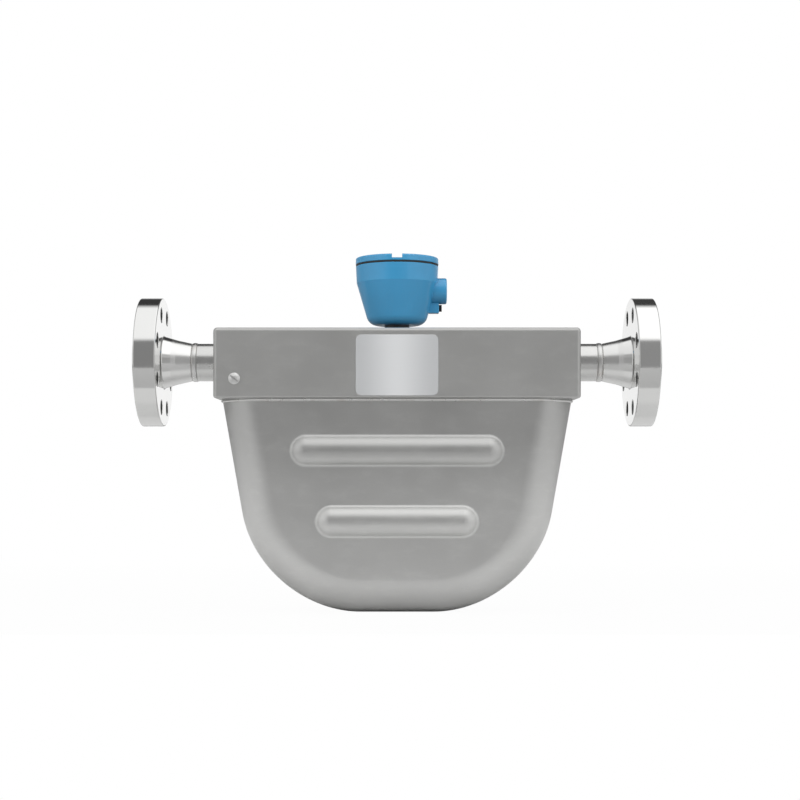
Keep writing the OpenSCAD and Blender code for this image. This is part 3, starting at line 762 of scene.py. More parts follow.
# painted shade: the stainless neck is made black because it lies in shade under the head
NECK_BLACK = Paint("black_neck_coating", (0.030, 0.030, 0.032), 0.45, peel=900, depth=0.015, coat=0.1)
RUBBER = Moulded("seal_rubber", (0.018, 0.018, 0.018), 0.6)
BLACK_OXIDE = Moulded("black_oxide_steel", (0.030, 0.030, 0.031), 0.38, metallic=0.8, depth=0.01)
PLATE = PlateFoil("bare_plate_foil", (0.54, 0.55, 0.56), 0.42)
SCREW = TurnedSteel("screw_steel", (0.74, 0.74, 0.73), 0.26, rings=3500)
CAST = StubSteel("pickled_cast_steel", (0.62, 0.62, 0.61), 0.42, grain=900, depth=0.01)
TUBE = Brushed("drawn_tube_steel", (0.72, 0.72, 0.71), 0.30)
COIL = Winding("copper_winding", (0.62, 0.27, 0.09), 0.35)
MAGNET = BlastedSteel("nickel_plated_magnet", (0.60, 0.58, 0.54), 0.25, depth=0.01)
POTTING = Moulded("ceramic_potting", (0.70, 0.66, 0.52), 0.6)
SLEEVE = Moulded("lead_sleeve", (0.80, 0.80, 0.76), 0.4, mottle=0.05)
HEADER = BlastedSteel("sealed_header_steel", (0.45, 0.46, 0.47), 0.35)
GOLD = BlastedSteel("gold_plate", (0.83, 0.58, 0.22), 0.25, depth=0.005)
CAN = Moulded("potted_can", (0.055, 0.058, 0.062), 0.45, depth=0.03)
TERMINAL = Moulded("moulded_terminal_body", (0.045, 0.17, 0.07), 0.4, mottle=0.08)
BRASS = BlastedSteel("bare_brass", (0.78, 0.52, 0.19), 0.3, depth=0.008)

SLOT_FINISH: dict[str, Finish] = {
    "polished_steel": FLANGE_STEEL,
    "cast_steel": CAST,
    "tube_steel": TUBE,
    "coil_winding": COIL,
    "magnet_alloy": MAGNET,
    "potting": POTTING,
    "lead_sleeve": SLEEVE,
    "satin_steel": CASE_STEEL,
    "box_steel": BOX_STEEL,
    "neck_black": NECK_BLACK,
    "header_steel": HEADER,
    "pin_gold": GOLD,
    "blue_paint": BLUE,
    "screw_steel": SCREW,
    "potting_can": CAN,
    "terminal_plastic": TERMINAL,
    "brass_screw": BRASS,
    "black_screw": BLACK_OXIDE,
    "black_rubber": RUBBER,
    "plate_aluminium": PLATE,
}


def corner(node: str, high: bool) -> Vector:
    """Returns the highest or lowest corner of a node, in millimetres."""
    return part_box(node)[1 if high else 0] / MM


def corners(first: str, last: Optional[str] = None) -> tuple[Vector, Vector]:
    """Returns the lowest corner of one node and the highest of it or of another, in millimetres."""
    return corner(first, False), corner(last or first, True)


# ---------- the meter ----------


@dataclass
class PipeEnds:
    """The two weld-neck flanges with their welds and stub pipes."""

    flange_d: float = 165.0
    flange_t: float = 28.0
    face_d: float = 92.1
    face_h: float = 6.35
    bore_d: float = 40.9
    pipe_d: float = 48.3
    hub_d: float = 67.0
    hub_l: float = 36.5
    hub_cone_l: float = 18.0
    hub_cone_h: float = 5.2
    face_edge_r: float = 0.8
    rim_edge_r: float = 1.6
    hub_edge_r: float = 2.2
    hole_edge_r: float = 0.7
    weld_w: float = 8.0
    weld_rise: float = 1.0
    toe_w: float = 0.35
    toe_d: float = 0.45
    toe_lap: float = 0.3
    circle_d: float = 127.0
    hole_d: float = 19.05
    holes: int = 8

    def flange(self) -> Piece:
        """Returns the inlet flange, drilled and with its edges broken."""
        back = self.face_h + self.flange_t
        end = back + self.hub_l
        bore, pipe = self.bore_d / 2, self.pipe_d / 2
        profile = rounded(
            [
                (0, bore),
                (0, self.face_d / 2, self.face_edge_r),
                (self.face_h, self.face_d / 2, self.face_edge_r),
                (self.face_h, self.flange_d / 2, self.rim_edge_r),
                (back, self.flange_d / 2, self.rim_edge_r),
                (back, self.hub_d / 2, self.hub_edge_r),
                (back + 1.5, self.hub_d / 2 - 0.2, 1.0),
                (back + self.hub_cone_l, self.hub_d / 2 - self.hub_cone_h, 6.0),
                (end, pipe + 0.1),
                (end, bore),
            ]
        )
        body = Piece.lathe("inlet_flange_turned", profile, 160, ring=True)
        hole = Piece.rod("drill", self.hole_d / 2, self.flange_t + 8, 48)
        for i in range(self.holes):
            angle = math.radians((i + 0.5) * 360 / self.holes)
            reach = self.circle_d / 2
            at = (reach * math.cos(angle), reach * math.sin(angle), self.face_h - 4)
            body.combine(Cut.TAKE, hole.copy("drill_copy").put(Facing.UP, at))
        bpy.data.objects.remove(hole.obj)
        body.tidy_flats(0.3)
        with body.edit():
            faces = (self.face_h, back)
            body.pick(
                Pick.EDGES, lambda at, _: min(abs(at.z - z) for z in faces) < 0.01 and self._round_hole(at)
            )
            bpy.ops.mesh.bevel(offset=self.hole_edge_r * MM, segments=2, affect="EDGES", clamp_overlap=True)
        return body.smooth(20).put(Facing.OUTLET, (0, 0, 0))

    def _round_hole(self, at: Vector) -> bool:
        """Returns whether a point lies on the rim of a bolt hole."""
        step = 2 * math.pi / self.holes
        angle = (math.floor(math.atan2(at.y, at.x) / step) + 0.5) * step
        reach = self.circle_d / 2
        gap = math.hypot(at.x - reach * math.cos(angle), at.y - reach * math.sin(angle))
        return abs(gap - self.hole_d / 2) < 0.08

    def bead(self) -> Piece:
        """Returns the butt weld between hub and stub pipe."""
        start = self.face_h + self.flange_t + self.hub_l
        pipe, wide, steps = self.pipe_d / 2, self.weld_w / 2 - 2 * self.toe_w, 8
        crown = [
            (start + self.weld_w / 2 - wide * math.cos(math.pi * i / steps),
             pipe - 0.1 + (self.weld_rise + 0.1) * math.sin(math.pi * i / steps))
            for i in range(steps + 1)
        ]
        inner = self.bore_d / 2 + 0.4
        side = [(-self.toe_lap, inner), (-self.toe_lap, pipe), (self.toe_w, pipe - self.toe_d)]
        near = [(start + a, r) for a, r in side]
        far = [(start + self.weld_w - a, r) for a, r in reversed(side)]
        profile = [*near, *crown, *far]
        return Piece.lathe("inlet_hub_weld", profile, 160, ring=True).smooth(40).put(Facing.OUTLET, (0, 0, 0))

    def build(self, centre_x: float) -> None:
        """Makes both ends."""
        flange, bead = self.flange(), self.bead()
        far = flange.opposite("outlet_flange_turned", centre_x)
        far_bead = bead.opposite("outlet_hub_weld", centre_x)
        flange.finish(FLANGE_STEEL, "polished_steel", "meter", "inlet_flange")
        far.finish(FLANGE_STEEL, "polished_steel", "meter", "outlet_flange")
        bead.finish(WELD, "polished_steel", "meter")
        far_bead.finish(WELD, "polished_steel", "meter")


@dataclass
class BraceBox:
    """The bent sheet box round the cross headers, its plate and its welds."""

    width: float = 458.0
    wall: float = 4.0
    edge_r: float = 5.0
    pipe_d: float = 48.3
    pipe_gap: float = 0.3
    spigot_r: float = 11.5
    arm_r: float = 18.0
    leg_x: float = 165.0
    leg_y: float = 32.0
    lead_hole_r: float = 10.0
    neck_r: float = 16.0
    edge_flat: float = 0.2
    bead_w: float = 3.6
    bead_h: float = 0.7

    def half(self, low: Vector, high: Vector) -> Piece:
        """Returns the front half of the box, from the mid-plane to the front."""
        piece = Piece.block("box_front_sheet", (low.x, low.y, low.z), (high.x, 0, high.z))
        with piece.edit():
            piece.pick(Pick.EDGES, lambda at, way: at.y < -0.1 and at.z > low.z + 0.1)
            piece.bevel(self.edge_r, 8)
            piece.pick(Pick.FACES, lambda at, way: way.y > 0.99 or way.z < -0.99)
            bpy.ops.mesh.delete(type="FACE")
        piece.outward()
        piece.modify("SOLIDIFY", thickness=self.wall * MM, offset=-1, use_even_offset=True)
        centre_x = (low.x + high.x) / 2
        pipe = Piece.rod("pipe_cutter", self.pipe_d / 2 + self.pipe_gap, self.width + 40, 96)
        pipe.put(Facing.OUTLET, (low.x - 20, 0, 0))
        neck = Piece.rod("neck_cutter", self.spigot_r + self.pipe_gap, 60, 48)
        return piece.combine(Cut.TAKE, pipe, neck.put(Facing.UP, (centre_x, 0, 0)))

    def plate(self, low: Vector, high: Vector) -> Piece:
        """Returns the base plate with its holes."""
        piece = Piece.block("base_plate_sheet", low, high)
        with piece.edit():
            piece.pick(Pick.EDGES, lambda at, way: abs(way.z) > 0.9)
            piece.bevel(self.edge_r, 8)
            piece.pick(Pick.EDGES, lambda at, way: at.z < low.z + 0.1)
            piece.bevel(high.z - low.z - self.edge_flat, 5)
        legs = [(self.arm_r, sx * self.leg_x, sy * self.leg_y) for sx in (-1, 1) for sy in (-1, 1)]
        for radius, x, y in (*legs, (self.lead_hole_r, 0, 0)):
            cutter = Piece.rod("hole_cutter", radius, 20, 48)
            piece.combine(Cut.TAKE, cutter.put(Facing.UP, ((low.x + high.x) / 2 + x, y, low.z - 8)))
        return piece.tidy_flats(0.2).smooth(32)

    def seam(self, low: Vector, high: Vector) -> Piece:
        """Returns the weld bead where the two halves meet, round the pipes and the neck."""
        centre_x = (low.x + high.x) / 2
        half, rise = self.bead_w / 2, self.bead_h
        bead = Piece.block(
            "box_seam_weld", (low.x - rise, -half, low.z), (high.x + rise, half, high.z + rise)
        )
        with bead.edit():
            bead.pick(Pick.EDGES, lambda at, way: abs(way.y) > 0.9 and at.z > 0)
            bead.bevel(self.edge_r + rise, 8)
        bead.soften(0.6, 3)
        inner = Piece.block("inner", (low.x + 2, -9, low.z - 9), (high.x - 2, 9, high.z - 2))
        pipe = Piece.rod("pipe", self.pipe_d / 2 + 1.5, self.width + 40, 64)
        pipe.put(Facing.OUTLET, (low.x - 20, 0, 0))
        neck = Piece.rod("neck", self.neck_r + 0.5, 60, 64).put(Facing.UP, (centre_x, 0, 0))
        return bead.combine(Cut.TAKE, inner, pipe, neck)

    def pipe_weld(self, x: float) -> Piece:
        """Returns the fillet weld between the box's inlet end and the stub pipe."""
        r = self.pipe_d / 2
        rises = ((0, 0.05), (0, 2.6), (0.5, 2.5), (1.3, 1.5), (2.3, 0.7), (2.9, 0.1), (2.9, 0.05))
        weld = Piece.lathe("inlet_pipe_weld", [(along, r + rise) for along, rise in rises], 96, ring=True)
        return weld.smooth(40).put(Facing.INLET, (x, 0, 0))

    def build(self) -> None:
        """Makes the two box halves, the plate and the welds."""
        low, high = corners("box_front", "box_rear")
        front = self.half(low, high)
        rear = front.opposite("box_rear_sheet", (low.x + high.x) / 2)
        front.combine(Cut.TAKE, CaseScrew().hole())
        for piece, node in ((front, "box_front"), (rear, "box_rear")):
            piece.smooth(32).finish(BOX_STEEL, "box_steel", "meter", node)
        self.seam(low, high).smooth(40).finish(WELD, "box_steel", "meter")
        weld = self.pipe_weld(low.x)
        weld.opposite("outlet_pipe_weld", (low.x + high.x) / 2).finish(WELD, "polished_steel", "meter")
        weld.finish(WELD, "polished_steel", "meter")
        self.plate(*corners("base_plate")).finish(BOX_STEEL, "satin_steel", "meter", "base_plate")


@dataclass
class Rib:
    """One pressed rib of the case."""

    width: float
    height: float
    drop: float
    rise: float = 10.0
    foot_r: float = 6.0

    def profile(self) -> Profile:
        """Returns (height, distance from the rib's middle line), from its hidden foot to its crown."""
        crown = (self.height**2 / 4 + self.rise**2) / (2 * self.rise)
        middle = self.rise - crown
        foot = math.sqrt((crown + self.foot_r) ** 2 - (self.foot_r - middle) ** 2)
        lean = math.atan2(foot, self.foot_r - middle)
        points = [(-4.0, 1.5), (-4.0, foot)]
        for i in range(9):
            turn = lean * i / 8
            points.append((self.foot_r * (1 - math.cos(turn)) - 0.02, foot - self.foot_r * math.sin(turn)))
        for i in range(1, 19):
            turn = lean * (1 - i / 19)
            points.append((middle + crown * math.cos(turn) - 0.02, crown * math.sin(turn)))
        return points

    def form(self, centre_x: float, face_y: float) -> Piece:
        """Returns the rib as a closed shape that stands on the case's front face.

        Args:
            centre_x: middle of the rib along the pipe.
            face_y: the face that it stands on.

        Returns:
            The rib, which reaches 4 mm into the face for joining.
        """
        piece = Piece.lathe("rib", self.profile(), 64).put(Facing.UP, (0, 0, 0), 180 / 64)
        half = (self.width - self.height) / 2
        with piece.edit():
            for side in (-1, 1):
                piece.pick(Pick.POINTS, lambda at, _: at.x * side > 0)
                bpy.ops.transform.translate(value=(side * half * MM, 0, 0))
        return piece.outward().put(Facing.FRONT, (centre_x, face_y, -self.drop))


@dataclass
class Case:
    """The two drawn case halves with their pressed ribs."""

    top_w: float = 444.0
    flat_w: float = 94.0
    corner_r: float = 152.0
    edge_r: float = 46.0
    wall: float = 3.0
    depth: float = 151.0
    bottom: float = -319.0
    ribs: tuple[Rib, ...] = (Rib(264, 37, 114.6), Rib(201, 38, 202.7))

    def slab(self, name: str, centre_x: float, top: float, depth: float, grow: float = 0.0) -> Piece:
        """Returns a block with the case's outline, from the mid-plane to the front.

        Args:
            name: the piece's name.
            centre_x: middle of the case along the pipe.
            top: height of its top edge.
            depth: how far it reaches in front of the mid-plane.
            grow: how far its outline lies outside the case's.

        Returns:
            The block.
        """
        run = Vector((self.top_w / 2 - self.flat_w / 2, top - self.bottom - self.corner_r))
        taper = math.acos(self.corner_r / run.length) - math.atan2(run.y, run.x)
        reach = (self.corner_r + grow) * math.tan((math.pi / 2 - taper) / 2)
        wide = self.top_w + 2 * grow / math.cos(taper)
        height = top - self.bottom + grow
        clear()
        bpy.ops.mesh.primitive_plane_add(size=1)
        bpy.context.object.scale = (wide * MM, height * MM, 1)
        piece = Piece(bpy.context.object, name).settle()
        with piece.edit():
            piece.pick(Pick.POINTS, lambda at, _: at.y < 0)
            bpy.ops.transform.resize(value=((self.flat_w + 2 * reach) / wide, 1, 1))
            piece.bevel(reach, 40, "VERTICES")
            bpy.ops.mesh.select_all(action="SELECT")
            piece.extrude(depth)
        return piece.outward().put(Facing.FRONT, (centre_x, 0, top - height / 2))

    def seam(self, centre_x: float, top: float) -> Piece:
        """Returns the weld bead where the two halves meet."""
        bead = self.slab("case_seam_weld", centre_x, top, 3.6, 0.8).put(Facing.UP, (0, 1.8, 0)).soften(0.7, 3)
        inner = self.slab("inner", centre_x, top, 8, -2.0).put(Facing.UP, (0, 4, 0))
        above = Piece.block("above", (0, -9, top - 2.6), (2 * centre_x, 9, top + 9))
        below = Piece.block("below", (0, -9, self.bottom - 9), (2 * centre_x, 9, self.bottom + 0.1))
        return bead.combine(Cut.TAKE, inner, above, below)

    def collar(self, centre_x: float, top: float) -> Piece:
        """Returns the weld bead between the case and the box."""
        ring = []
        for name, grow, low in (("case_collar_weld", 1.6, 4.2), ("inner", -4.0, 9)):
            x, y = self.top_w / 2 + grow, self.depth / 2 + grow
            high = top - 1.0 if grow > 0 else top + 5
            piece = Piece.block(name, (centre_x - x, -y, top - low), (centre_x + x, y, high))
            with piece.edit():
                piece.pick(Pick.EDGES, lambda at, way: abs(way.z) > 0.9)
                piece.bevel(self.edge_r + grow, 16)
            ring.append(piece)
        return ring[0].soften(1.4, 4, 60).combine(Cut.TAKE, ring[1])

    def half(self, centre_x: float, top: float) -> Piece:
        """Returns the front half, open at the mid-plane and the top.

        Args:
            centre_x: middle of the case along the pipe.
            top: height of its top edge.

        Returns:
            The pressed and walled half.
        """
        piece = self.slab("case_front_shell", centre_x, top, self.depth / 2)
        with piece.edit():
            piece.pick(Pick.EDGES, lambda at, way: at.y < 0.01 - self.depth / 2 and at.z < top - 0.01)
            piece.bevel(self.edge_r, 20)
        for rib in self.ribs:
            piece.combine(Cut.JOIN, rib.form(centre_x, -self.depth / 2))
        with piece.edit():
            piece.pick(Pick.FACES, lambda at, way: way.y > 0.99 or (way.z > 0.99 and at.z > top - 0.1))
            bpy.ops.mesh.delete(type="FACE")
        piece.tidy_flats(0.05)
        return piece.modify("SOLIDIFY", thickness=self.wall * MM, offset=-1, use_even_offset=True)

    def build(self) -> None:
        """Makes both halves."""
        low, high = corners("case_front", "case_rear")
        centre_x = (low.x + high.x) / 2
        front = self.half(centre_x, high.z).smooth(30)
        rear = front.opposite("case_rear_shell", centre_x)
        front.finish(CASE_STEEL, "satin_steel", "meter", "case_front")
        rear.finish(CASE_STEEL, "satin_steel", "meter", "case_rear")
        self.seam(centre_x, high.z).smooth(40).finish(WELD, "satin_steel", "meter")
        self.collar(centre_x, high.z).smooth(40).finish(WELD, "satin_steel", "meter")


@dataclass
class CaseScrew:
    """The slotted screw at the end of the box front."""

    head_r: float = 7.3
    head_h: float = 3.4
    rim_h: float = 0.8
    shank_r: float = 3.21
    shank_l: float = 3.5
    slot_w: float = 1.9
    slot_z: float = 1.6
    slot_turn: float = -38.0

    def at(self) -> tuple[float, float, float]:
        """Returns the centre of the seat of the head."""
        low, high = corners("case_ground_screw")
        return ((low.x + high.x) / 2, corner("box_front", False).y, (low.z + high.z) / 2)

    def hole(self) -> Piece:
        """Returns the cutter for its hole in the box."""
        x, _, z = self.at()
        return Piece.rod("screw_cutter", self.shank_r + 0.2, 30, 32).put(Facing.FRONT, (x, -60, z))

    def build(self) -> None:
        """Makes the domed screw with its slot."""
        rise = self.head_h - self.rim_h
        dome_r = (self.head_r**2 + rise**2) / (2 * rise)
        lean = math.asin(self.head_r / dome_r)
        dome = [
            (self.head_h - dome_r * (1 - math.cos(lean * i / 12)), dome_r * math.sin(lean * i / 12))
            for i in range(12, 0, -1)
        ]
        shank = [(-self.shank_l, 0), (-self.shank_l, self.shank_r), (0, self.shank_r)]
        profile = [*shank, (0, self.head_r - 0.2), (0.2, self.head_r), *dome, (self.head_h, 0)]
        screw = Piece.lathe("case_ground_screw_domed", profile, 72)
        slot = Piece.block("slot", (-10, -self.slot_w / 2, self.slot_z), (10, self.slot_w / 2, 8))
        screw.combine(Cut.TAKE, slot.put(Facing.UP, (0, 0, 0), self.slot_turn))
        screw.smooth(32).put(Facing.FRONT, self.at())
        screw.finish(SCREW, "screw_steel", "meter", "case_ground_screw")


@dataclass
class Head:
    """The cast housing with its cover and gasket, and holes for its screws."""

    low_d: float = 72.4
    crease_d: float = 104.4
    rim_d: float = 106.6
    crease_h: float = 54.4
    height: float = 76.0
    fillet_r: float = 14.7
    wall: float = 4.0
    floor: float = 4.5
    bore_d: float = 92.6
    boss_d: float = 33.5
    boss_h: float = 44.4
    boss_reach: float = 64.0
    entry_d: float = 18.4
    lug_w: float = 13.4
    lug_h: float = 22.4
    lug_reach: float = 54.0
    pin_hole_r: float = 9.0
    ground_x: float = -42.0
    ground_r: float = 5.0
    ground_z: Point = (41.0, 52.5)
    tap_r: float = 2.02
    tap_l: float = 10.0
    screw_ring: float = 12.0
    screw_hole_r: float = 2.2

    def housing(self) -> Piece:
        """Returns the cast housing about its own axis, with its bottom at 0."""
        slope = math.atan2((self.crease_d - self.low_d) / 2, self.crease_h)
        outer = rounded(
            [
                (0, 0),
                (0, self.low_d / 2, self.fillet_r),
                (self.crease_h, self.crease_d / 2, 3.0),
                (self.height, self.rim_d / 2, 0.9),
                (self.height, 0),
            ],
            10,
        )
        piece = Piece.lathe("core_housing_cast", outer, 160)
        boss = Piece.lathe(
            "boss",
            rounded(
                [(0, 0), (0, self.boss_d / 2), (self.boss_reach, self.boss_d / 2, 2.2), (self.boss_reach, 0)]
            ),
            96,
        ).put(Facing.OUTLET, (0, 0, self.boss_h))
        half = self.lug_w / 2
        lug = Piece.block("lug", (0, -half, self.lug_h - half), (self.lug_reach, half, self.lug_h + half))
        lug.soften(1.2, 3, clamp=False)
        piece.combine(Cut.JOIN, boss, lug)
        inner = self.low_d / 2 - self.wall / math.cos(slope)
        meet = (self.bore_d / 2 - inner) / math.tan(slope)
        base = inner + self.floor * math.tan(slope)
        cavity = Piece.lathe(
            "cavity",
            rounded(
                [
                    (self.floor, 0),
                    (self.floor, base, 3.0),
                    (meet, self.bore_d / 2, 1.0),
                    (self.height + 5, self.bore_d / 2),
                    (self.height + 5, 0),
                ]
            ),
            144,
        )
        r = self.entry_d / 2
        entry = Piece.rod("entry", r, self.boss_reach + 5, 64).put(Facing.OUTLET, (0, 0, self.boss_h))
        lead_in = Piece.lathe("lead_in", [(0, 0), (0, r - 1), (3.2, r + 2.2), (3.2, 0)], 64)
        lead_in.put(Facing.OUTLET, (self.boss_reach - 1.4, 0, self.boss_h))
        screw = Piece.rod("screw", 2.52, 12, 32).put(Facing.OUTLET, (self.lug_reach - 10, 0, self.lug_h))
        pins = Piece.rod("pins", self.pin_hole_r, 10, 48).put(Facing.UP, (0, 0, -3))
        piece.combine(Cut.TAKE, cavity, entry, lead_in, screw, pins)
        for i in range(4):
            angle = math.radians(45 + 90 * i)
            x, y = self.screw_ring * math.cos(angle), self.screw_ring * math.sin(angle)
            cutter = Piece.rod("screw_hole", self.screw_hole_r, 10, 24)
            piece.combine(Cut.TAKE, cutter.put(Facing.UP, (x, y, -3)))
        return piece

    def build(self) -> None:
        """Makes the housing and what closes it."""
        low, high = corners("cover")
        x = (low.x + high.x) / 2
        r, (start, top) = self.ground_r, self.ground_z
        ground = Piece.lathe("inner_boss", rounded([(start, 0), (start, r), (top, r, 0.8), (top, 0)]), 48)
        ground.put(Facing.UP, (self.ground_x, 0, 0))
        tap = Piece.rod("tap", self.tap_r, 20, 32).put(Facing.UP, (self.ground_x, 0, top - self.tap_l))
        ground.combine(Cut.TAKE, tap)
        housing = self.housing().combine(Cut.JOIN, ground)
        housing.smooth(28).put(Facing.UP, (x, 0, corner("core_housing", False).z))
        housing.finish(BLUE, "blue_paint", "meter", "core_housing")
        Cover().build(x)


@dataclass
class Cover:
    """The screw cover with its castellated rim, and the gasket under it."""

    outer_d: float = 107.0
    height: float = 8.1
    plate_t: float = 3.0
    rim_w: float = 9.5
    notch_w: float = 12.9
    notches: int = 4
    skirt_r: float = 46.0
    skirt_l: float = 13.0
    skirt_wall: float = 4.0
    thread_l: float = 2.0
    thread_h: float = 0.8
    gasket_t: float = 2.2
    gasket_in: float = 46.8
    gasket_out: float = 53.1

    def build(self, x: float) -> None:
        """Makes the cover and its gasket.

        Args:
            x: the head's axis along the pipe.
        """
        seat = corner("cover", True).z - self.height
        r = self.outer_d / 2
        inner = self.skirt_r - self.skirt_wall
        thread = [
            (-self.skirt_l + 1 + i * self.thread_l / 4, self.skirt_r - (0.0 if i % 4 < 2 else self.thread_h))
            for i in range(21)
        ]
        profile = rounded(
            [
                (0, 0),
                (0, inner, 1.0),
                (-self.skirt_l, inner, 0.5),
                (-self.skirt_l, self.skirt_r - self.thread_h),
                *thread,
                (-1.6, self.skirt_r),
                (0, self.skirt_r),
                (0, r, 0.6),
                (self.height, r, 2.0),
                (self.height, r - self.rim_w, 0.7),
                (self.plate_t, r - self.rim_w - 1, 1.2),
                (self.plate_t, 0),
            ]
        )
        cover = Piece.lathe("cover_castellated", profile, 160)
        for i in range(self.notches // 2):
            half = self.notch_w / 2
            notch = Piece.block("notch", (-half, -80, self.plate_t), (half, 80, self.height + 5))
            cover.combine(Cut.TAKE, notch.put(Facing.UP, (0, 0, 0), i * 360 / self.notches))
        cover.smooth(30).put(Facing.UP, (x, 0, seat)).finish(BLUE, "blue_paint", "cover", "cover")
        low = corner("cover_gasket", False).z
        r, t = self.gasket_out, self.gasket_t
        ring = rounded([(0, self.gasket_in), (0, r, 0.6), (t, r, 0.6), (t, self.gasket_in)])
        gasket = Piece.lathe("cover_gasket_ring", ring, 144, ring=True).smooth(50).put(Facing.UP, (x, 0, low))
        gasket.finish(RUBBER, "black_rubber", "seal", "cover_gasket")


@dataclass
class NamePlate:
    """The bare plate on the box front, with its edge broken."""

    width: float = 102.6
    height: float = 75.8
    radius: float = 7.0
    thickness: float = 0.8
    broken: float = 0.15

    def build(self) -> None:
        """Makes the plate."""
        low, high = corners("nameplate")
        clear()
        bpy.ops.mesh.primitive_plane_add(size=1)
        bpy.context.object.scale = (self.width * MM, self.height * MM, 1)
        plate = Piece(bpy.context.object, "nameplate_blank").settle()
        with plate.edit():
            bpy.ops.mesh.select_all(action="SELECT")
            plate.bevel(self.radius, 10, "VERTICES")
            bpy.ops.mesh.select_all(action="SELECT")
            flat = self.thickness - self.broken
            plate.extrude(flat)
            plate.pick(Pick.FACES, lambda at, way: at.z > flat - 0.05)
            bpy.ops.mesh.inset(thickness=self.broken * MM, depth=self.broken * MM)
        plate.outward().smooth(20)
        plate.put(Facing.FRONT, ((low.x + high.x) / 2, high.y, (low.z + high.z) / 2))
        plate.finish(PLATE, "plate_aluminium", "meter", "nameplate")


def dress_frame() -> None:
    """Gives every node of the frame that is still shown the finish of its slot."""
    slots = {part["node"]: part["material_slot"] for part in frame["record"]["subparts"]}
    for name, node in frame["nodes"].items():
        finish = SLOT_FINISH[slots[name]]
        node.data.materials.clear()
        node.data.materials.append(finish.material())
        log.info("%s: frame node in %s", name, finish.name)


# ---------- studio ----------


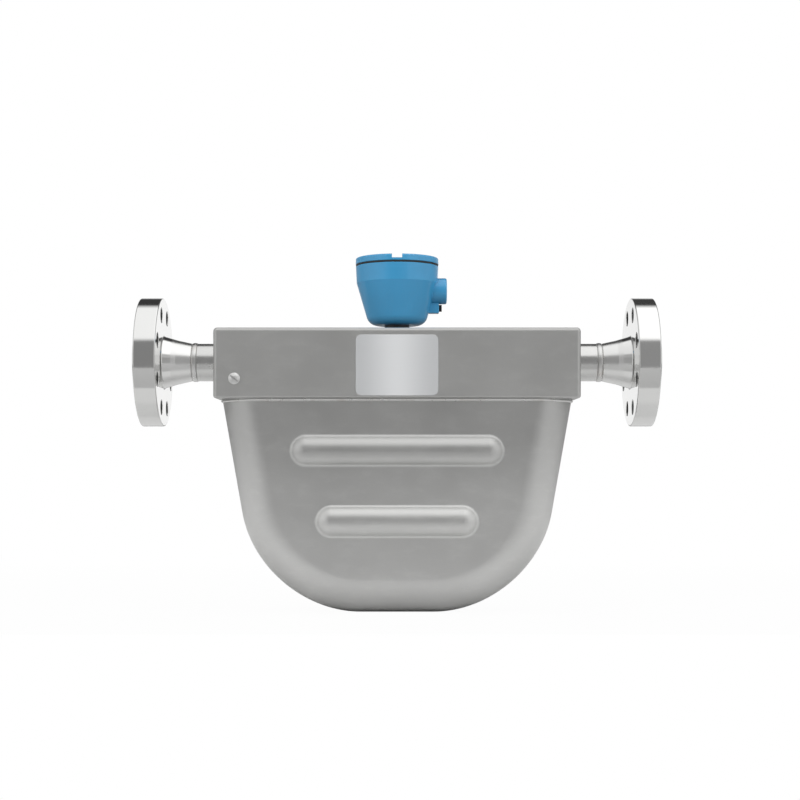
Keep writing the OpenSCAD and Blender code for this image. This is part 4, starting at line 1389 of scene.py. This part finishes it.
@dataclass
class Studio:
    """Pale floor, soft light and the camera.

    Places of the camera and the floor's edges are in millimetres, and the floor's fades in metres. A band is
    the two angles between which the surroundings keep one level, where 0 is the front and 90 is up, and the
    level. The cards are dark patches of the surroundings beyond either hub, in parts of the
    direction.
    """

    lens: float = 72.1
    eye: tuple[float, float, float] = (337.0, -2070.0, -138.8)
    shift: tuple[float, float] = (0.0017, 0.0875)
    floor_size: float = 60.0
    floor_z: float = -319.6
    floor_front: float = -1400.0
    floor_pale: float = -310.0
    floor_greys: Point = (0.36, 0.48)
    floor_fade_y: Point = (0.3, 1.2)
    floor_clear_y: Point = (0.06, 0.14)
    floor_mirrored: float = 0.22
    floor_shadow: float = 0.03
    seen_y: Point = (0.975, 0.99)
    ends_x: Point = (0.18, 0.75)
    sides_y: Point = (0.0, 0.5)
    sides: Point = (0.85, 0.34)
    lean: float = 0.6
    card_x: tuple[Point, Point] = ((0.34, 0.38), (0.47, 0.52))
    card_z: tuple[Point, Point] = ((-0.12, -0.08), (0.30, 0.34))
    card_dark: float = 0.85
    strength: float = 2.0
    bands: tuple[tuple[float, float, float], ...] = (
        (-180, -60, 0.85),
        (-45, -18, 0.42),
        (-10, 34, 0.28),
        (40, 110, 1.2),
        (122, 152, 0.05),
        (174, 180, 1.0),
    )

    @staticmethod
    def grey(level: float) -> tuple[float, float, float, float]:
        """Returns a grey as an opaque colour."""
        return (level, level, level, 1.0)

    def camera(self) -> None:
        """Places the camera level in front of the meter."""
        made = bpy.data.cameras.new("camera")
        made.lens = self.lens
        made.sensor_width = 36
        made.shift_x, made.shift_y = self.shift
        made.clip_end = 100
        eye = bpy.data.objects.new("camera", made)
        eye.location = Vector(self.eye) * MM
        eye.rotation_euler = (math.pi / 2, 0, 0)
        bpy.context.scene.collection.objects.link(eye)
        bpy.context.scene.camera = eye

    def floor(self) -> None:
        """Makes the pale floor."""
        clear()
        bpy.ops.mesh.primitive_plane_add(
            size=self.floor_size, location=(0, self.floor_size / 2 + self.floor_front * MM, self.floor_z * MM)
        )
        piece = Piece(bpy.context.object, "studio_floor").settle()
        made = bpy.data.materials.new("pale_floor")
        made.use_nodes = True
        sheet = Sheet(made.node_tree)
        _, y, _ = sheet.axes(sheet.place())
        near = y.between(((self.floor_pale - 10) * MM, (self.floor_pale + 10) * MM), self.floor_fade_y)
        clear_of = abs(y).step(*self.floor_clear_y)
        grey = sheet.blend(near, *(self.grey(level) for level in self.floor_greys))
        matt = sheet.node("ShaderNodeBsdfDiffuse", {"Color": grey})
        white = sheet.node("ShaderNodeEmission", {"Color": (1, 1, 1, 1), "Strength": 1.0})
        share = sheet.seen(near * clear_of * self.floor_mirrored) * (1.0 - near * self.floor_shadow)
        both = sheet.node("ShaderNodeMixShader", {0: share, 1: matt, 2: white})
        sheet.close(both, "ShaderNodeOutputMaterial")
        piece.obj.data.materials.append(made)

    def world(self) -> None:
        """Makes the soft surroundings: bright overhead, grey in front, white to the camera."""
        world = bpy.data.worlds.new("studio")
        world.use_nodes = True
        bpy.context.scene.world = world
        sheet = Sheet(world.node_tree)
        x, y, z = sheet.axes(sheet.node("ShaderNodeTexCoord", out="Generated"))
        angle = z.math("ARCTAN2", y * -1.0)
        ramp = sheet.node("ShaderNodeValToRGB", {0: angle / (2 * math.pi) + 0.5})
        stops = ramp.value.node.color_ramp
        stops.elements.remove(stops.elements[1])
        edges = [(degrees, level) for start, end, level in self.bands for degrees in (start, end)]
        for i, (degrees, level) in enumerate(edges):
            stop = stops.elements.new(degrees / 360 + 0.5) if i else stops.elements[0]
            stop.color = self.grey(level / self.strength)
        card = abs(x).between(*self.card_x) * z.between(*self.card_z)
        side = sheet.blend(y.step(*self.sides_y), *(self.grey(level / self.strength) for level in self.sides))
        front = sheet.scaled(ramp, (x * self.lean + 1.0) * (1.0 - card * self.card_dark))
        level = sheet.blend(abs(x).step(*self.ends_x), front, side)
        light = sheet.node("ShaderNodeBackground", {"Color": level, "Strength": self.strength})
        white = sheet.node("ShaderNodeBackground", {"Color": (1, 1, 1, 1), "Strength": 1.0})
        seen = sheet.seen(y.step(*self.seen_y))
        sheet.close(sheet.node("ShaderNodeMixShader", {0: seen, 1: light, 2: white}), "ShaderNodeOutputWorld")

    def lamp(self, name: str, at: Sequence[float], size: float, power: float) -> None:
        """Hangs one soft square lamp that faces the meter and doesn't show in metal.

        Args:
            name: the lamp's name.
            at: its place in metres.
            size: its side in metres.
            power: watts.
        """
        made = bpy.data.lights.new(name, "AREA")
        made.size, made.energy = size, power
        lamp = bpy.data.objects.new(name, made)
        lamp.location = at
        lamp.rotation_euler = (Vector((0.335, 0.0, -0.1)) - Vector(at)).to_track_quat("-Z", "Y").to_euler()
        lamp.visible_glossy = False
        bpy.context.scene.collection.objects.link(lamp)

    def build(self) -> None:
        """Sets the whole studio up."""
        bpy.context.scene.view_settings.view_transform = "Standard"
        self.camera()
        self.floor()
        self.world()
        self.lamp("top_lamp", (0.335, -0.4, 2.2), 1.6, 8)
        for i, (x, y) in enumerate((x, y) for y in (-1.8, 1.8) for x in (-1.3, 1.97)):
            self.lamp(f"fill_lamp_{i}", (x, y, 1.2), 1.4, 27)


def main() -> None:
    """Builds the studio and the meter in order."""
    logging.basicConfig(level=logging.INFO, format="%(message)s", force=True)
    Studio().build()
    dress_frame()
    low, high = corners("inlet_flange", "outlet_flange")
    centre_x = (low.x + high.x) / 2
    PipeEnds().build(centre_x)
    BraceBox().build()
    Case().build()
    CaseScrew().build()
    Head().build()
    NamePlate().build()


if __name__ == "__main__":
    main()
